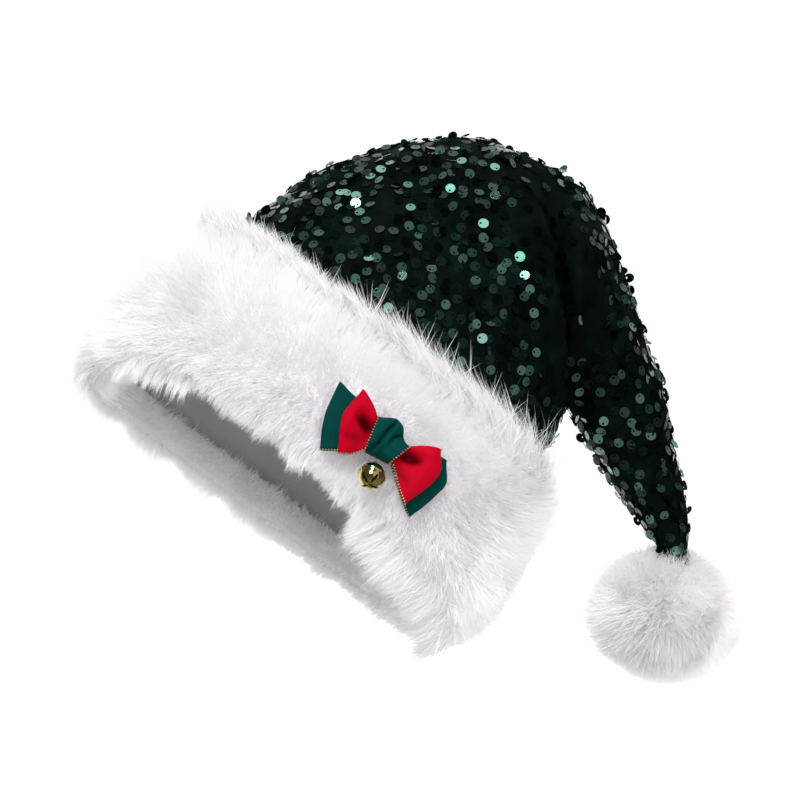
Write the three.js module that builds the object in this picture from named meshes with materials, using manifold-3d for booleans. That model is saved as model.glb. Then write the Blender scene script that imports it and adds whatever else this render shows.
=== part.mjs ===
// A Santa hat: a sequinned cloth crown that folds over into a hanging tail, a deep plush band with a cloth lining,
// a plush pompom, and a bow of two ribbons with a jingle bell.
//
// Millimetres, +Z up. The origin is the middle of the opening that the head goes into.
// The hat's own frame has its axis on z, the long side of the opening on x, and its front, with the bow, towards -y.
// The group that holds the pieces turns that frame as a head tilts it, so that the tail hangs straight down.

import * as THREE from 'three';
import { mergeVertices } from 'three/addons/utils/BufferGeometryUtils.js';
import Module from 'manifold-3d';

const wasm = await Module();
wasm.setup();

// How the hat is worn
const sidewaysTilt = 35; // degrees, right end of the opening down
const backwardLean = 13.5; // degrees, crown away from the front

// The opening, measured inside the lining
const openingLength = 218;
const openingWidth = 148;
const lengthTaper = 32; // how much shorter the wall's oval is at the band's top
const widthTaper = 24;

// The layers of the wall, from the inside out
const liningThickness = 1.5;
const clothThickness = 2;
const layerGap = 0.3;

// The plush band
const bandHeight = 104;
const furDepth = 23;
const lockHeight = 4;
const turnUp = 23; // how far the plush turns up inside the rim
const turnUpDepth = 6;
const turnUpGap = 0.8;
const slotFloor = 6; // the lining and the crown stand in the plush this far above the rim

// The crown and its tail
const crownHeight = 239;
const tailReach = 106; // from the fold's inner corner to the tip, across
const tailSetBack = 28; // how far the tip hangs behind the hat's middle
const tipRadius = 3;

// The pompom
const pompomWidth = 83;
const pompomHeight = 71;
const pompomLockHeight = 4;
const pompomClearance = 0.3;
const tipSunk = 0.24; // how deep the tail's tip stands in it, as a share of its half height
const pompomLeft = 0.145; // where its middle lies from the tip, as shares of its half width
const pompomBehind = 0.36;

// The bow: two ribbons folded into flat rings, one on the other, and a knot round their middles
const ribbonWidth = 38;
const ribbonThickness = 0.8;
const ribbonGap = 0.4; // between a ribbon's layers, and between the ribbons, in the knot
const greenReach = 34; // from the knot's middle to the fold
const redReachLeft = 25;
const redReachRight = 29;
const greenPuff = 5.6;
const redPuff = 7;
const knotLength = 21;
const knotHeight = 21.5;
const knotThickness = 1.2;
const knotWaist = 0.07; // how far the knot narrows in its middle, as a share
const knotTaper = 0.22; // how much lower it is at its right end, as a share of its height
const knotSpread = 0.14; // how much longer its top is than its middle, as a share
const pleatDepth = 1.4;
const bowClearance = 0.3;
const bowAcross = 33.5; // where the knot sits, to the right of the hat's middle
const bowUp = 43; // and above the rim
const wingDrop = 0.24; // how far the wings hang, as a share of their length
const leftFoldSlant = 0.3; // how far the folds lean outwards at the top, as a share of their height
const rightFoldSlant = 0.07;

// The bell
const bellDiameter = 14;
const bellWall = 0.6;
const bellSlot = 1.6;
const shankRadius = 1.3;
const shankWire = 0.45;
const bellSwing = 12; // degrees from the hat's axis
const bellTip = 30; // degrees that its shank leans back against the fur
const pelletDiameter = 4;

// Facets
const wallSides = 32;
const furSides = 80;
const stepsBetweenSections = 2;

const degrees = THREE.MathUtils.degToRad;
const turn = 2 * Math.PI;
const backing = liningThickness + clothThickness + 2 * layerGap; // the plush starts this far outside the lining's face

// Mesh building

// A closed mesh through rings of equally many points. Rings that end at a point are closed by a fan.
// Where a point stands out as a lock, the faces round it are split so that it stays a peak of its own.
function loft(rings, { joined = false, first = null, last = null, isPeak = null } = {}) {
  const sides = rings[0].length;
  const points = rings.flat();
  const faces = [];
  const bands = joined ? rings.length : rings.length - 1;
  for (let ring = 0; ring < bands; ring++) {
    const here = ring * sides;
    const next = ((ring + 1) % rings.length) * sides;
    for (let side = 0; side < sides; side++) {
      const after = (side + 1) % sides;
      if (isPeak && isPeak(ring, side)) {
        faces.push(here + side, here + after, next + side, here + after, next + after, next + side);
      } else {
        faces.push(here + side, here + after, next + after, here + side, next + after, next + side);
      }
    }
  }
  if (!joined) {
    const end = (rings.length - 1) * sides;
    points.push(first, last);
    for (let side = 0; side < sides; side++) {
      const after = (side + 1) % sides;
      faces.push(points.length - 2, after, side);
      faces.push(points.length - 1, end + side, end + after);
    }
  }
  return facedOut(points, faces);
}

function facedOut(points, faces) {
  let volume = 0;
  for (let corner = 0; corner < faces.length; corner += 3) {
    const [a, b, c] = [0, 1, 2].map((k) => points[faces[corner + k]]);
    volume += a.dot(b.clone().cross(c));
  }
  const geometry = new THREE.BufferGeometry().setFromPoints(points);
  geometry.setIndex(volume < 0 ? faces.slice().reverse() : faces);
  return geometry;
}

// A ribbon or strip that closes on itself. surface(around, across) gives its outer face, both from 0 to 1.
function stripRing(surface, thickness, aroundSteps, acrossSteps) {
  const nudge = 0.002;
  const rings = [];
  for (let i = 0; i < aroundSteps; i++) {
    const around = i / aroundSteps;
    const outer = [];
    const inner = [];
    for (let j = 0; j <= acrossSteps; j++) {
      const across = j / acrossSteps;
      const point = surface(around, across);
      const along = surface(around + nudge, across).sub(surface(around - nudge, across));
      const side = surface(around, Math.min(1, across + nudge)).sub(surface(around, Math.max(0, across - nudge)));
      const inward = along.cross(side).normalize();
      outer.push(point);
      inner.push(point.clone().addScaledVector(inward, thickness));
    }
    rings.push([...outer, ...inner.reverse()]);
  }
  return loft(rings, { joined: true });
}

function toSolid(geometry) {
  const bare = geometry.clone();
  bare.deleteAttribute('normal');
  bare.deleteAttribute('uv');
  const merged = mergeVertices(bare, 1e-4);
  return new wasm.Manifold(new wasm.Mesh({
    numProp: 3,
    vertProperties: Float32Array.from(merged.attributes.position.array),
    triVerts: Uint32Array.from(merged.index.array),
  }));
}

function fromSolid(solid) {
  const mesh = solid.getMesh();
  const geometry = new THREE.BufferGeometry();
  geometry.setAttribute('position', new THREE.BufferAttribute(mesh.vertProperties, 3));
  geometry.setIndex(new THREE.BufferAttribute(mesh.triVerts, 1));
  return geometry;
}

// A repeatable value from -1 to 1 for each pair of whole numbers
function scatter(a, b) {
  const value = Math.sin(a * 12.9898 + b * 78.233) * 43758.5453;
  return 2 * (value - Math.floor(value)) - 1;
}

// A power that keeps the sign, to square off a sine or a cosine
function signedPower(value, power) {
  return Math.sign(value) * Math.abs(value) ** power;
}

// The smooth curve through a table's rows, read at a place from 0 to 1, or round and round where it is a loop
function readTable(rows, column, place, loop = false) {
  const spans = loop ? rows.length : rows.length - 1;
  const at = (loop ? place - Math.floor(place) : THREE.MathUtils.clamp(place, 0, 1)) * spans;
  const start = Math.min(Math.floor(at), spans - 1);
  const t = at - start;
  const row = (k) => (loop ? rows[(k + rows.length) % rows.length] : rows[THREE.MathUtils.clamp(k, 0, spans)]);
  const [p0, p1, p2, p3] = [-1, 0, 1, 2].map((k) => row(start + k)[column]);
  const pull1 = (p2 - p0) / 2;
  const pull2 = (p3 - p1) / 2;
  return (2 * t ** 3 - 3 * t ** 2 + 1) * p1 + (t ** 3 - 2 * t ** 2 + t) * pull1
    + (3 * t ** 2 - 2 * t ** 3) * p2 + (t ** 3 - t ** 2) * pull2;
}

// Wall

// The band once round, from the right end by the back, in shares. Top and rim say how far its edges rise, full how
// much fur it has, and apart how far the crown pushes its top edge outwards, as a share of the opening's half length.
const bandEdges = [
  { top: 0.03, rim: -0.03, full: 1.0, apart: 0.063 },
  { top: -0.02, rim: 0.02, full: 1.0, apart: 0.036 },
  { top: -0.02, rim: 0.065, full: 0.98, apart: 0.021 },
  { top: -0.01, rim: 0.045, full: 0.97, apart: 0.015 },
  { top: 0.07, rim: -0.01, full: 0.95, apart: 0.009 },
  { top: 0.02, rim: 0.155, full: 0.98, apart: 0.015 },
  { top: -0.08, rim: 0.165, full: 1.0, apart: 0.017 },
  { top: -0.09, rim: 0.05, full: 1.0, apart: 0.025 },
];

function rimHeight(around) {
  return bandHeight * readTable(bandEdges, 'rim', around, true);
}

function topHeight(around) {
  return bandHeight * (1 + readTable(bandEdges, 'top', around, true));
}

// The wall that the head goes into is an oval that narrows upwards. This is that oval, so far outwards of it.
function ovalHalves(height, outwards) {
  return {
    length: openingLength / 2 - (lengthTaper / 2) * (height / bandHeight) + outwards,
    width: openingWidth / 2 - (widthTaper / 2) * (height / bandHeight) + outwards,
  };
}

function ovalPoint(around, height, outwards) {
  const halves = ovalHalves(height, outwards);
  return new THREE.Vector3(halves.length * Math.cos(around * turn), halves.width * Math.sin(around * turn), height);
}

// A ring round the wall, level or along the rim
function ovalRing(height, outwards, followsRim = false) {
  return Array.from({ length: wallSides }, (_, side) => {
    const around = side / wallSides;
    return ovalPoint(around, height + (followsRim ? rimHeight(around) : 0), outwards);
  });
}

const wallBottom = slotFloor + 2 * layerGap;

// Lining

const liningTop = 0.82 * bandHeight;

function makeLining() {
  return loft([
    ovalRing(wallBottom, liningThickness, true),
    ovalRing(liningTop, liningThickness),
    ovalRing(liningTop, 0),
    ovalRing(wallBottom, 0, true),
  ], { joined: true });
}

// Crown

const tuckTop = 0.88 * bandHeight; // up to here the crown stands straight inside the band
const crownOutwards = liningThickness + layerGap + clothThickness;

// Sections of the crown above the band. Each runs from its inner end, at the corner where the tail folds over, to its
// outer end. Across is a share of the wall's half length, up a share of the way from the band to the crown's top,
// and depth a share of the wall's half width.
const domeSections = [
  { innerAcross: 1.0, innerUp: 0.0, outerAcross: -1.0, outerUp: 0.0, depth: 1.0 },
  { innerAcross: 1.033, innerUp: 0.139, outerAcross: -0.945, outerUp: 0.2, depth: 0.995 },
  { innerAcross: 1.037, innerUp: 0.2, outerAcross: -0.89, outerUp: 0.325, depth: 0.985 },
  { innerAcross: 1.0, innerUp: 0.285, outerAcross: -0.762, outerUp: 0.52, depth: 0.95 },
  { innerAcross: 0.968, innerUp: 0.333, outerAcross: -0.507, outerUp: 0.753, depth: 0.88 },
  { innerAcross: 0.958, innerUp: 0.35, outerAcross: -0.182, outerUp: 0.935, depth: 0.77 },
  { innerAcross: 0.955, innerUp: 0.358, outerAcross: 0.08, outerUp: 0.995, depth: 0.67 },
  { innerAcross: 0.96, innerUp: 0.358, outerAcross: 0.355, outerUp: 1.01, depth: 0.59 },
  { innerAcross: 0.97, innerUp: 0.354, outerAcross: 0.588, outerUp: 0.985, depth: 0.53, back: 0.18 },
];

// Sections of the tail. Across is a share of the tail's reach, from the fold's inner corner.
const tailSections = [
  { innerAcross: 0.063, innerUp: 0.348, outerAcross: -0.097, outerUp: 0.866, depth: 0.47, back: 0.42 },
  { innerAcross: 0.139, innerUp: 0.332, outerAcross: 0.101, outerUp: 0.769, depth: 0.42, back: 0.57 },
  { innerAcross: 0.261, innerUp: 0.298, outerAcross: 0.28, outerUp: 0.668, depth: 0.36, back: 0.68 },
  { innerAcross: 0.422, innerUp: 0.251, outerAcross: 0.459, outerUp: 0.566, depth: 0.3, back: 0.77 },
  { innerAcross: 0.582, innerUp: 0.207, outerAcross: 0.62, outerUp: 0.454, depth: 0.24, back: 0.85 },
  { innerAcross: 0.742, innerUp: 0.166, outerAcross: 0.771, outerUp: 0.353, depth: 0.18, back: 0.92 },
  { innerAcross: 0.865, innerUp: 0.142, outerAcross: 0.903, outerUp: 0.247, depth: 0.125, back: 0.97 },
  { innerAcross: 0.952, innerUp: 0.105, outerAcross: 0.992, outerUp: 0.155, depth: 0.08, back: 1.0 },
];

// Folds pressed into the crown. At and width are shares of the way along its sections, side is -1 for the front and 1
// for the back, deep is the share of the depth that goes, and fade takes it to one end of the section.
const crownFolds = [
  { at: 0.39, width: 0.036, side: -1, deep: 0.9, fade: 0.36 },
  { at: 0.39, width: 0.05, side: 1, deep: 0.32, fade: 0.5 },
  { at: 0.2, width: 0.05, side: -1, deep: 0.08, fade: -0.4 },
  { at: 0.58, width: 0.05, side: -1, deep: 0.14, fade: 0.2 },
  { at: 0.7, width: 0.045, side: 1, deep: 0.14, fade: -0.2 },
];

function crownSections() {
  const wall = ovalHalves(tuckTop, crownOutwards);
  const rise = crownHeight - tuckTop;
  const corner = domeSections.at(-1).innerAcross * wall.length;
  const place = (row, start, reach) => ({
    innerX: start + row.innerAcross * reach,
    innerZ: tuckTop + row.innerUp * rise,
    outerX: start + row.outerAcross * reach,
    outerZ: tuckTop + row.outerUp * rise,
    depth: row.depth * wall.width,
    back: (row.back ?? 0) * tailSetBack,
  });
  return [
    ...domeSections.map((row) => place(row, 0, wall.length)),
    ...tailSections.map((row) => place(row, corner, tailReach)),
  ];
}

function foldShare(place, angle) {
  let share = 1;
  for (const fold of crownFolds) {
    if (Math.sign(Math.sin(angle)) === fold.side) {
      const near = Math.exp(-(((place - fold.at) / fold.width) ** 2));
      const towardsInner = THREE.MathUtils.clamp(0.5 + fold.fade * Math.cos(angle), 0, 1);
      share -= fold.deep * near * towardsInner;
    }
  }
  return share;
}

function crownRing(sections, place, grow = 0) {
  const read = (column) => readTable(sections, column, place);
  const inner = new THREE.Vector3(read('innerX'), 0, read('innerZ'));
  const outer = new THREE.Vector3(read('outerX'), 0, read('outerZ'));
  const middle = inner.clone().add(outer).multiplyScalar(0.5);
  const half = inner.clone().sub(outer).multiplyScalar(0.5);
  half.setLength(half.length() + grow);
  return Array.from({ length: wallSides }, (_, side) => {
    const angle = (side / wallSides) * turn;
    const depth = (read('depth') + grow) * Math.sin(angle) * foldShare(place, angle);
    return middle.clone().addScaledVector(half, Math.cos(angle)).add(new THREE.Vector3(0, depth + read('back'), 0));
  });
}

// Each point moved into the cloth along the surface's own direction
function insetRings(rings, distance) {
  return rings.map((ring, k) => {
    const before = rings[Math.max(0, k - 1)];
    const after = rings[Math.min(rings.length - 1, k + 1)];
    return ring.map((point, side) => {
      const along = after[side].clone().sub(before[side]);
      const next = ring[(side + 1) % ring.length];
      const previous = ring[(side + ring.length - 1) % ring.length];
      const inward = along.cross(next.clone().sub(previous)).normalize();
      return point.clone().addScaledVector(inward, distance);
    });
  });
}

const sections = crownSections();
const loftSteps = (sections.length - 1) * stepsBetweenSections;

function sectionMiddle(row) {
  return new THREE.Vector3((row.innerX + row.outerX) / 2, row.back, (row.innerZ + row.outerZ) / 2);
}

// The point so far beyond the tail's last section, the way the tail runs there
function pastTip(distance) {
  const end = sectionMiddle(sections.at(-1));
  const direction = end.clone().sub(sectionMiddle(sections.at(-2))).normalize();
  return end.addScaledVector(direction, distance);
}

function makeCrown() {
  const outer = [ovalRing(wallBottom, crownOutwards, true)];
  for (let step = 0; step <= loftSteps; step++) {
    outer.push(crownRing(sections, step / loftSteps));
  }
  const inner = insetRings(outer, clothThickness);
  inner[0] = ovalRing(wallBottom, crownOutwards - clothThickness, true);
  return loft([...outer.reverse(), ...inner], { first: pastTip(tipRadius), last: pastTip(tipRadius - clothThickness) });
}

// Plush band

// The plush outside the wall, from the top to the rim. Out is a share of the fur's depth, up of the way from the rim
// to the top, and lean says which way the locks point: upwards or downwards.
const furProfile = [
  { out: 0.28, up: 1.0, lean: 0.7 },
  { out: 0.64, up: 0.965, lean: 0.8 },
  { out: 0.9, up: 0.88, lean: 0.5 },
  { out: 1.02, up: 0.76, lean: 0.2 },
  { out: 1.06, up: 0.62, lean: 0.0 },
  { out: 1.05, up: 0.48, lean: -0.2 },
  { out: 1.01, up: 0.34, lean: -0.4 },
  { out: 0.92, up: 0.21, lean: -0.6 },
  { out: 0.72, up: 0.1, lean: -0.8 },
  { out: 0.36, up: 0.02, lean: -0.9 },
];

// The plush that turns up inside the rim. In is a share of the turn-up's depth and up of its height.
const turnUpProfile = [{ inwards: 0.3, up: -0.13 }, { inwards: 0.9, up: 0.15 }, { inwards: 1.0, up: 0.55 },
  { inwards: 0.7, up: 0.95 }];

const rightEndLean = 7; // how far out the upper fur stands at the right end, and in at the left
const peaks = (side, row) => (side + row) % 2 === 0;

function plushPoint(around, out, height) {
  const point = ovalPoint(around, height, backing + out);
  const upperPart = THREE.MathUtils.smoothstep(height, 0.5 * bandHeight, 0.9 * bandHeight);
  point.x += rightEndLean * upperPart * (out / furDepth) * Math.abs(Math.cos(around * turn));
  return point;
}

// 1 where the bow presses the fur flat, and 0 away from it
function underBow(point) {
  const across = Math.abs(point.x - bowAcross) / (greenReach + 3 * lockHeight);
  const up = Math.abs(point.z - bowUp + wingDrop * greenReach * 0.5) / (ribbonWidth / 2 + 3 * lockHeight);
  return point.y < 0 && across < 1 && up < 1.15 ? 1 : 0;
}

function makePlushBand() {
  const rings = [];
  for (let side = 0; side < furSides; side++) {
    const around = side / furSides;
    const rim = rimHeight(around);
    const top = topHeight(around);
    const full = furDepth * readTable(bandEdges, 'full', around, true);
    const apart = (openingLength / 2) * readTable(bandEdges, 'apart', around, true);
    const ring = [
      plushPoint(around, 0, rim + slotFloor),
      plushPoint(around, 0, tuckTop - 6),
      plushPoint(around, apart, top - 3),
    ];
    furProfile.forEach((row, k) => {
      const height = rim + row.up * (top - rim);
      const free = 1 - underBow(plushPoint(around, row.out * full, height));
      const lock = peaks(side, ring.length) ? lockHeight * (1 + 0.5 * scatter(side, k)) * free : 0;
      const sway = peaks(side, ring.length) ? 0.35 * scatter(k, side) * free : 0;
      const out = Math.max(row.out * full, apart + 0.1 * furDepth) + lock;
      ring.push(plushPoint((side + sway) / furSides, out, height + lock * row.lean));
    });
    turnUpProfile.forEach((row, k) => {
      const lock = peaks(side, ring.length) ? 0.3 * lockHeight * scatter(side, k + furProfile.length) : 0;
      ring.push(plushPoint(around, -backing - row.inwards * turnUpDepth + lock, rim + row.up * turnUp));
    });
    ring.push(plushPoint(around, -backing - turnUpGap, rim + 0.9 * turnUp));
    ring.push(plushPoint(around, -backing - turnUpGap, rim + slotFloor));
    rings.push(ring);
  }
  return loft(rings, { joined: true, isPeak: (ring, side) => !peaks(ring, side) });
}

// Pompom. It is made in the frame of the room, where it is wider than it is high.

const pompomRings = 12;
const pompomSides = 24;

// Turns the hat's own frame into the room's
const hatTurn = new THREE.Euler(-degrees(backwardLean), degrees(sidewaysTilt), 0, 'YXZ');

function pompomCentre() {
  const half = pompomWidth / 2;
  const fromTip = new THREE.Vector3(-pompomLeft * half, pompomBehind * half, -(1 - tipSunk) * (pompomHeight / 2));
  return pastTip(0).applyEuler(hatTurn).add(fromTip);
}

function makePompom() {
  const point = (polar, around, lock) => new THREE.Vector3(
    (pompomWidth / 2) * Math.sin(polar) * Math.cos(around),
    (pompomWidth / 2) * Math.sin(polar) * Math.sin(around),
    (pompomHeight / 2) * Math.cos(polar),
  ).multiplyScalar(1 + lock / (pompomWidth / 2));
  const rings = [];
  for (let k = 1; k < pompomRings; k++) {
    rings.push(Array.from({ length: pompomSides }, (_, side) => {
      const stands = peaks(side, k) ? 0.5 + 0.4 * scatter(side, k) : -0.5;
      return point((k / pompomRings) * Math.PI, (side / pompomSides) * turn, stands * pompomLockHeight);
    }));
  }
  const ball = loft(rings, {
    first: point(0, 0, 0),
    last: point(Math.PI, 0, 0),
    isPeak: (ring, side) => peaks(side, ring),
  });
  const socketStarts = 0.86;
  const places = [socketStarts, 0.92, 0.96, 1];
  const socket = loft(places.map((place) => crownRing(sections, place, pompomClearance)), {
    first: sectionMiddle({
      innerX: readTable(sections, 'innerX', socketStarts),
      outerX: readTable(sections, 'outerX', socketStarts),
      innerZ: readTable(sections, 'innerZ', socketStarts),
      outerZ: readTable(sections, 'outerZ', socketStarts),
      back: readTable(sections, 'back', socketStarts),
    }),
    last: pastTip(tipRadius + pompomClearance),
  });
  const centre = pompomCentre();
  socket.applyMatrix4(new THREE.Matrix4().makeRotationFromEuler(hatTurn)).translate(-centre.x, -centre.y, -centre.z);
  return fromSolid(toSolid(ball).subtract(toSolid(socket)));
}

// Bow, on the band's front

// How far the fur stands out from the backing at a share of the way from the rim to the top
function furOut(up) {
  const above = furProfile.findLastIndex((row) => row.up >= up);
  const [high, low] = [furProfile[Math.max(0, above)], furProfile[Math.min(furProfile.length - 1, above + 1)]];
  const t = high.up === low.up ? 0 : (high.up - up) / (high.up - low.up);
  return furDepth * THREE.MathUtils.lerp(high.out, low.out, THREE.MathUtils.clamp(t, 0, 1));
}

// How far the pressed fur comes out under the knot, from the wall's oval at the knot's middle
const frontMiddle = 0.75 + Math.asin((2 * bowAcross) / openingLength) / turn;
const furUnderBow = Math.max(...[-0.5, -0.25, 0, 0.25, 0.5].map((share) => {
  const height = bowUp + share * knotHeight;
  const rim = rimHeight(frontMiddle);
  const narrowing = ovalHalves(height, 0).width - ovalHalves(bowUp, 0).width;
  return furOut((height - rim) / (topHeight(frontMiddle) - rim)) + narrowing;
}));

// The point of the band's front so far across and up from the knot, and so far off the fur
function frontPoint(across, up, off) {
  const halves = ovalHalves(bowUp, backing + furUnderBow + bowClearance + off);
  const sine = THREE.MathUtils.clamp((bowAcross + across) / halves.length, -1, 1);
  return new THREE.Vector3(bowAcross + across, -halves.width * Math.sqrt(1 - sine ** 2), bowUp + up);
}

// The gathered ribbons in the knot
const gatheredWidth = 0.6 * (knotHeight - 2 * knotThickness);
const gatheredHalf = ribbonThickness + ribbonGap;
const knotDepth = 1.2 * (4 * gatheredHalf + ribbonGap + pleatDepth) + 2 * knotThickness;
const gatheredMiddle = knotDepth / 2 - 0.1 * pleatDepth;
const gatheredApart = gatheredHalf + ribbonGap / 2;

// A ribbon folded into a flat ring: forwards along its front face, back along its rear one. The knot gathers its
// middle and presses a pleat into it, and its wings puff out and hang a little.
function ribbonSurface({ reachLeft, reachRight, gatheredOff, off, puff }) {
  return (around, t) => {
    const reach = signedPower(Math.cos(around * turn), 0.8);
    const width = 2 * t - 1;
    const across = reach * (reach < 0 ? reachLeft : reachRight);
    const beyondKnot = Math.max(0, Math.abs(across) - knotLength / 2);
    const open = THREE.MathUtils.smoothstep(Math.abs(across), 0.57 * knotLength, redReachLeft);
    const halfWidth = THREE.MathUtils.lerp(gatheredWidth, ribbonWidth, open ** 0.75) / 2;
    const half = THREE.MathUtils.lerp(gatheredHalf, puff / 2, open);
    const middle = THREE.MathUtils.lerp(gatheredOff, off, open);
    const up = width * halfWidth;
    const slant = (reach < 0 ? -leftFoldSlant : rightFoldSlant) * up * Math.abs(reach) * open;
    const pleat = pleatDepth * Math.exp(-((across / knotLength) ** 2)) * (width ** 2 - 0.4);
    const front = signedPower(Math.sin(around * turn), 0.6);
    return frontPoint(across + slant, up - wingDrop * beyondKnot, middle + half * front + pleat);
  };
}

const ribbonSteps = 32;
const ribbonStrips = 4;
const greenOff = greenPuff / 2 + 1.2;
const redOff = greenPuff + redPuff / 2 + 1.6;

function makeGreenRibbon() {
  const surface = ribbonSurface({
    reachLeft: greenReach,
    reachRight: greenReach,
    gatheredOff: gatheredMiddle - gatheredApart,
    off: greenOff,
    puff: greenPuff,
  });
  return stripRing(surface, ribbonThickness, ribbonSteps, ribbonStrips);
}

function makeRedRibbon() {
  const surface = ribbonSurface({
    reachLeft: redReachLeft,
    reachRight: redReachRight,
    gatheredOff: gatheredMiddle + gatheredApart,
    off: redOff,
    puff: redPuff,
  });
  return stripRing(surface, ribbonThickness, ribbonSteps, ribbonStrips);
}

// The knot, as the strip that goes round both, with a hump at its top and a waist in its middle
function makeKnot() {
  const surface = (around, t) => {
    const angle = around * turn;
    const waist = 1 - knotWaist * Math.sin(Math.PI * t);
    const hump = 1 + 0.1 * Math.max(0, Math.sin(angle)) * Math.sin(Math.PI * THREE.MathUtils.clamp(1.6 * t - 0.5, 0, 1));
    const up = (knotHeight / 2) * signedPower(Math.sin(angle), 0.4) * waist * hump * (1 - knotTaper * t);
    const off = (knotDepth / 2) * (1 + signedPower(Math.cos(angle), 0.4) * waist);
    const length = knotLength * (1 + knotSpread * signedPower(Math.sin(angle), 0.4));
    return frontPoint((t - 0.5) * length, up, off);
  };
  return stripRing(surface, knotThickness, 24, 5);
}

// Bell: two domes crimped together, with crossed slots below and a wire shank above

const bellRadius = bellDiameter / 2;
const shankTop = bellRadius + 2 * (shankRadius + shankWire) - 0.6 * shankWire;

function bellProfile(radius, seam) {
  const steps = 10;
  return Array.from({ length: steps + 1 }, (_, k) => {
    const angle = (k / steps) * Math.PI;
    const out = k === 0 || k === steps ? 0 : (radius + (k === steps / 2 ? seam : 0)) * Math.sin(angle);
    return new THREE.Vector2(out, -radius * Math.cos(angle));
  });
}

function makeBell() {
  const turned = (profile) => toSolid(new THREE.LatheGeometry(profile, 20).rotateX(Math.PI / 2));
  const slot = (angle) => toSolid(new THREE.BoxGeometry(bellDiameter * 0.8, bellSlot, bellRadius)
    .translate(0, 0, -bellRadius).rotateZ(angle));
  const shank = toSolid(new THREE.TorusGeometry(shankRadius, shankWire, 6, 12)
    .rotateX(Math.PI / 2).translate(0, 0, shankTop - shankRadius - shankWire));
  const shell = turned(bellProfile(bellRadius, 0.35)).subtract(turned(bellProfile(bellRadius - bellWall, 0)));
  return fromSolid(shell.subtract(slot(0)).subtract(slot(Math.PI / 2)).add(shank));
}

function makePellet() {
  return new THREE.SphereGeometry(pelletDiameter / 2, 10, 7).rotateX(Math.PI / 2);
}

// Materials

const greenCloth = new THREE.MeshStandardMaterial({ color: 0x06251f, roughness: 0.55, metalness: 0.2 });
const whitePlush = new THREE.MeshStandardMaterial({ color: 0xf2f0f1, roughness: 0.95, metalness: 0 });
const greyCloth = new THREE.MeshStandardMaterial({ color: 0xb4b3b8, roughness: 0.9, metalness: 0 });
const greenSatin = new THREE.MeshStandardMaterial({ color: 0x0a4a3c, roughness: 0.4, metalness: 0 });
const redSatin = new THREE.MeshStandardMaterial({ color: 0xb8061f, roughness: 0.4, metalness: 0 });
const gold = new THREE.MeshStandardMaterial({ color: 0xd8b54a, roughness: 0.15, metalness: 1 });

// Assembly

function piece(name, geometry, material) {
  const mesh = new THREE.Mesh(geometry, material);
  mesh.name = name;
  return mesh;
}

// The bell hangs under the knot, its shank against the fur
function makeBellGroup() {
  const hangAcross = 1.4;
  const knotBottom = (knotHeight / 2) * (1 - knotWaist) * (1 - knotTaper * (0.5 + hangAcross / knotLength));
  const tipped = degrees(bellTip);
  const shankOff = bellRadius - Math.sin(tipped) * shankTop + 2 * bowClearance;
  const group = new THREE.Group();
  group.position.copy(frontPoint(hangAcross, -knotBottom - layerGap, shankOff));
  group.rotation.set(-tipped, -degrees(bellSwing), 0, 'YXZ');
  const bell = piece('bell', makeBell(), gold);
  bell.position.z = -shankTop;
  const pellet = piece('bell_pellet', makePellet(), gold);
  pellet.position.z = -shankTop - bellRadius + bellWall + pelletDiameter / 2 + 0.1;
  group.add(bell, pellet);
  return group;
}

const tiltedHat = new THREE.Group();
tiltedHat.rotation.copy(hatTurn);
tiltedHat.add(
  piece('crown', makeCrown(), greenCloth),
  piece('lining', makeLining(), greyCloth),
  piece('plush_band', makePlushBand(), whitePlush),
  piece('bow_green_ribbon', makeGreenRibbon(), greenSatin),
  piece('bow_red_ribbon', makeRedRibbon(), redSatin),
  piece('bow_knot', makeKnot(), greenSatin),
  makeBellGroup(),
);

const pompom = piece('pompom', makePompom(), whitePlush);
pompom.position.copy(pompomCentre());

const hat = new THREE.Group();
hat.add(tiltedHat, pompom);

export default hat;
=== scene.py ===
# A Santa hat: sequinned crown with a hanging tail, deep plush band, plush pompom, and a bow with a bell.
# Shapes are worked out in millimetres in the hat's own frame, as in the source, and then turned to the room.

import math

import bpy
import numpy as np
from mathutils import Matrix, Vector


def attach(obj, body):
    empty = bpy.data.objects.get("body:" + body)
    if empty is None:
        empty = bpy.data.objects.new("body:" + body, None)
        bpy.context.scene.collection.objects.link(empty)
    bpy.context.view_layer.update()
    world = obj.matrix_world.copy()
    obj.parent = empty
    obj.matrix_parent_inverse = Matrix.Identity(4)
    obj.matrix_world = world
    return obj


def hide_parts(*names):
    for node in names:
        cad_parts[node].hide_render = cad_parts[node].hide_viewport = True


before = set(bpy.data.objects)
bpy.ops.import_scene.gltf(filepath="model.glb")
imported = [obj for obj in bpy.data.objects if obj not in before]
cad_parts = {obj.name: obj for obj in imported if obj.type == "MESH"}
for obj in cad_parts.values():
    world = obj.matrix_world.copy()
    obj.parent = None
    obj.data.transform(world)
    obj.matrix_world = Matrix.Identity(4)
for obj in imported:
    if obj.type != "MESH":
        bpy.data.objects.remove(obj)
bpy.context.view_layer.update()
TURN = 2 * math.pi

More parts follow.
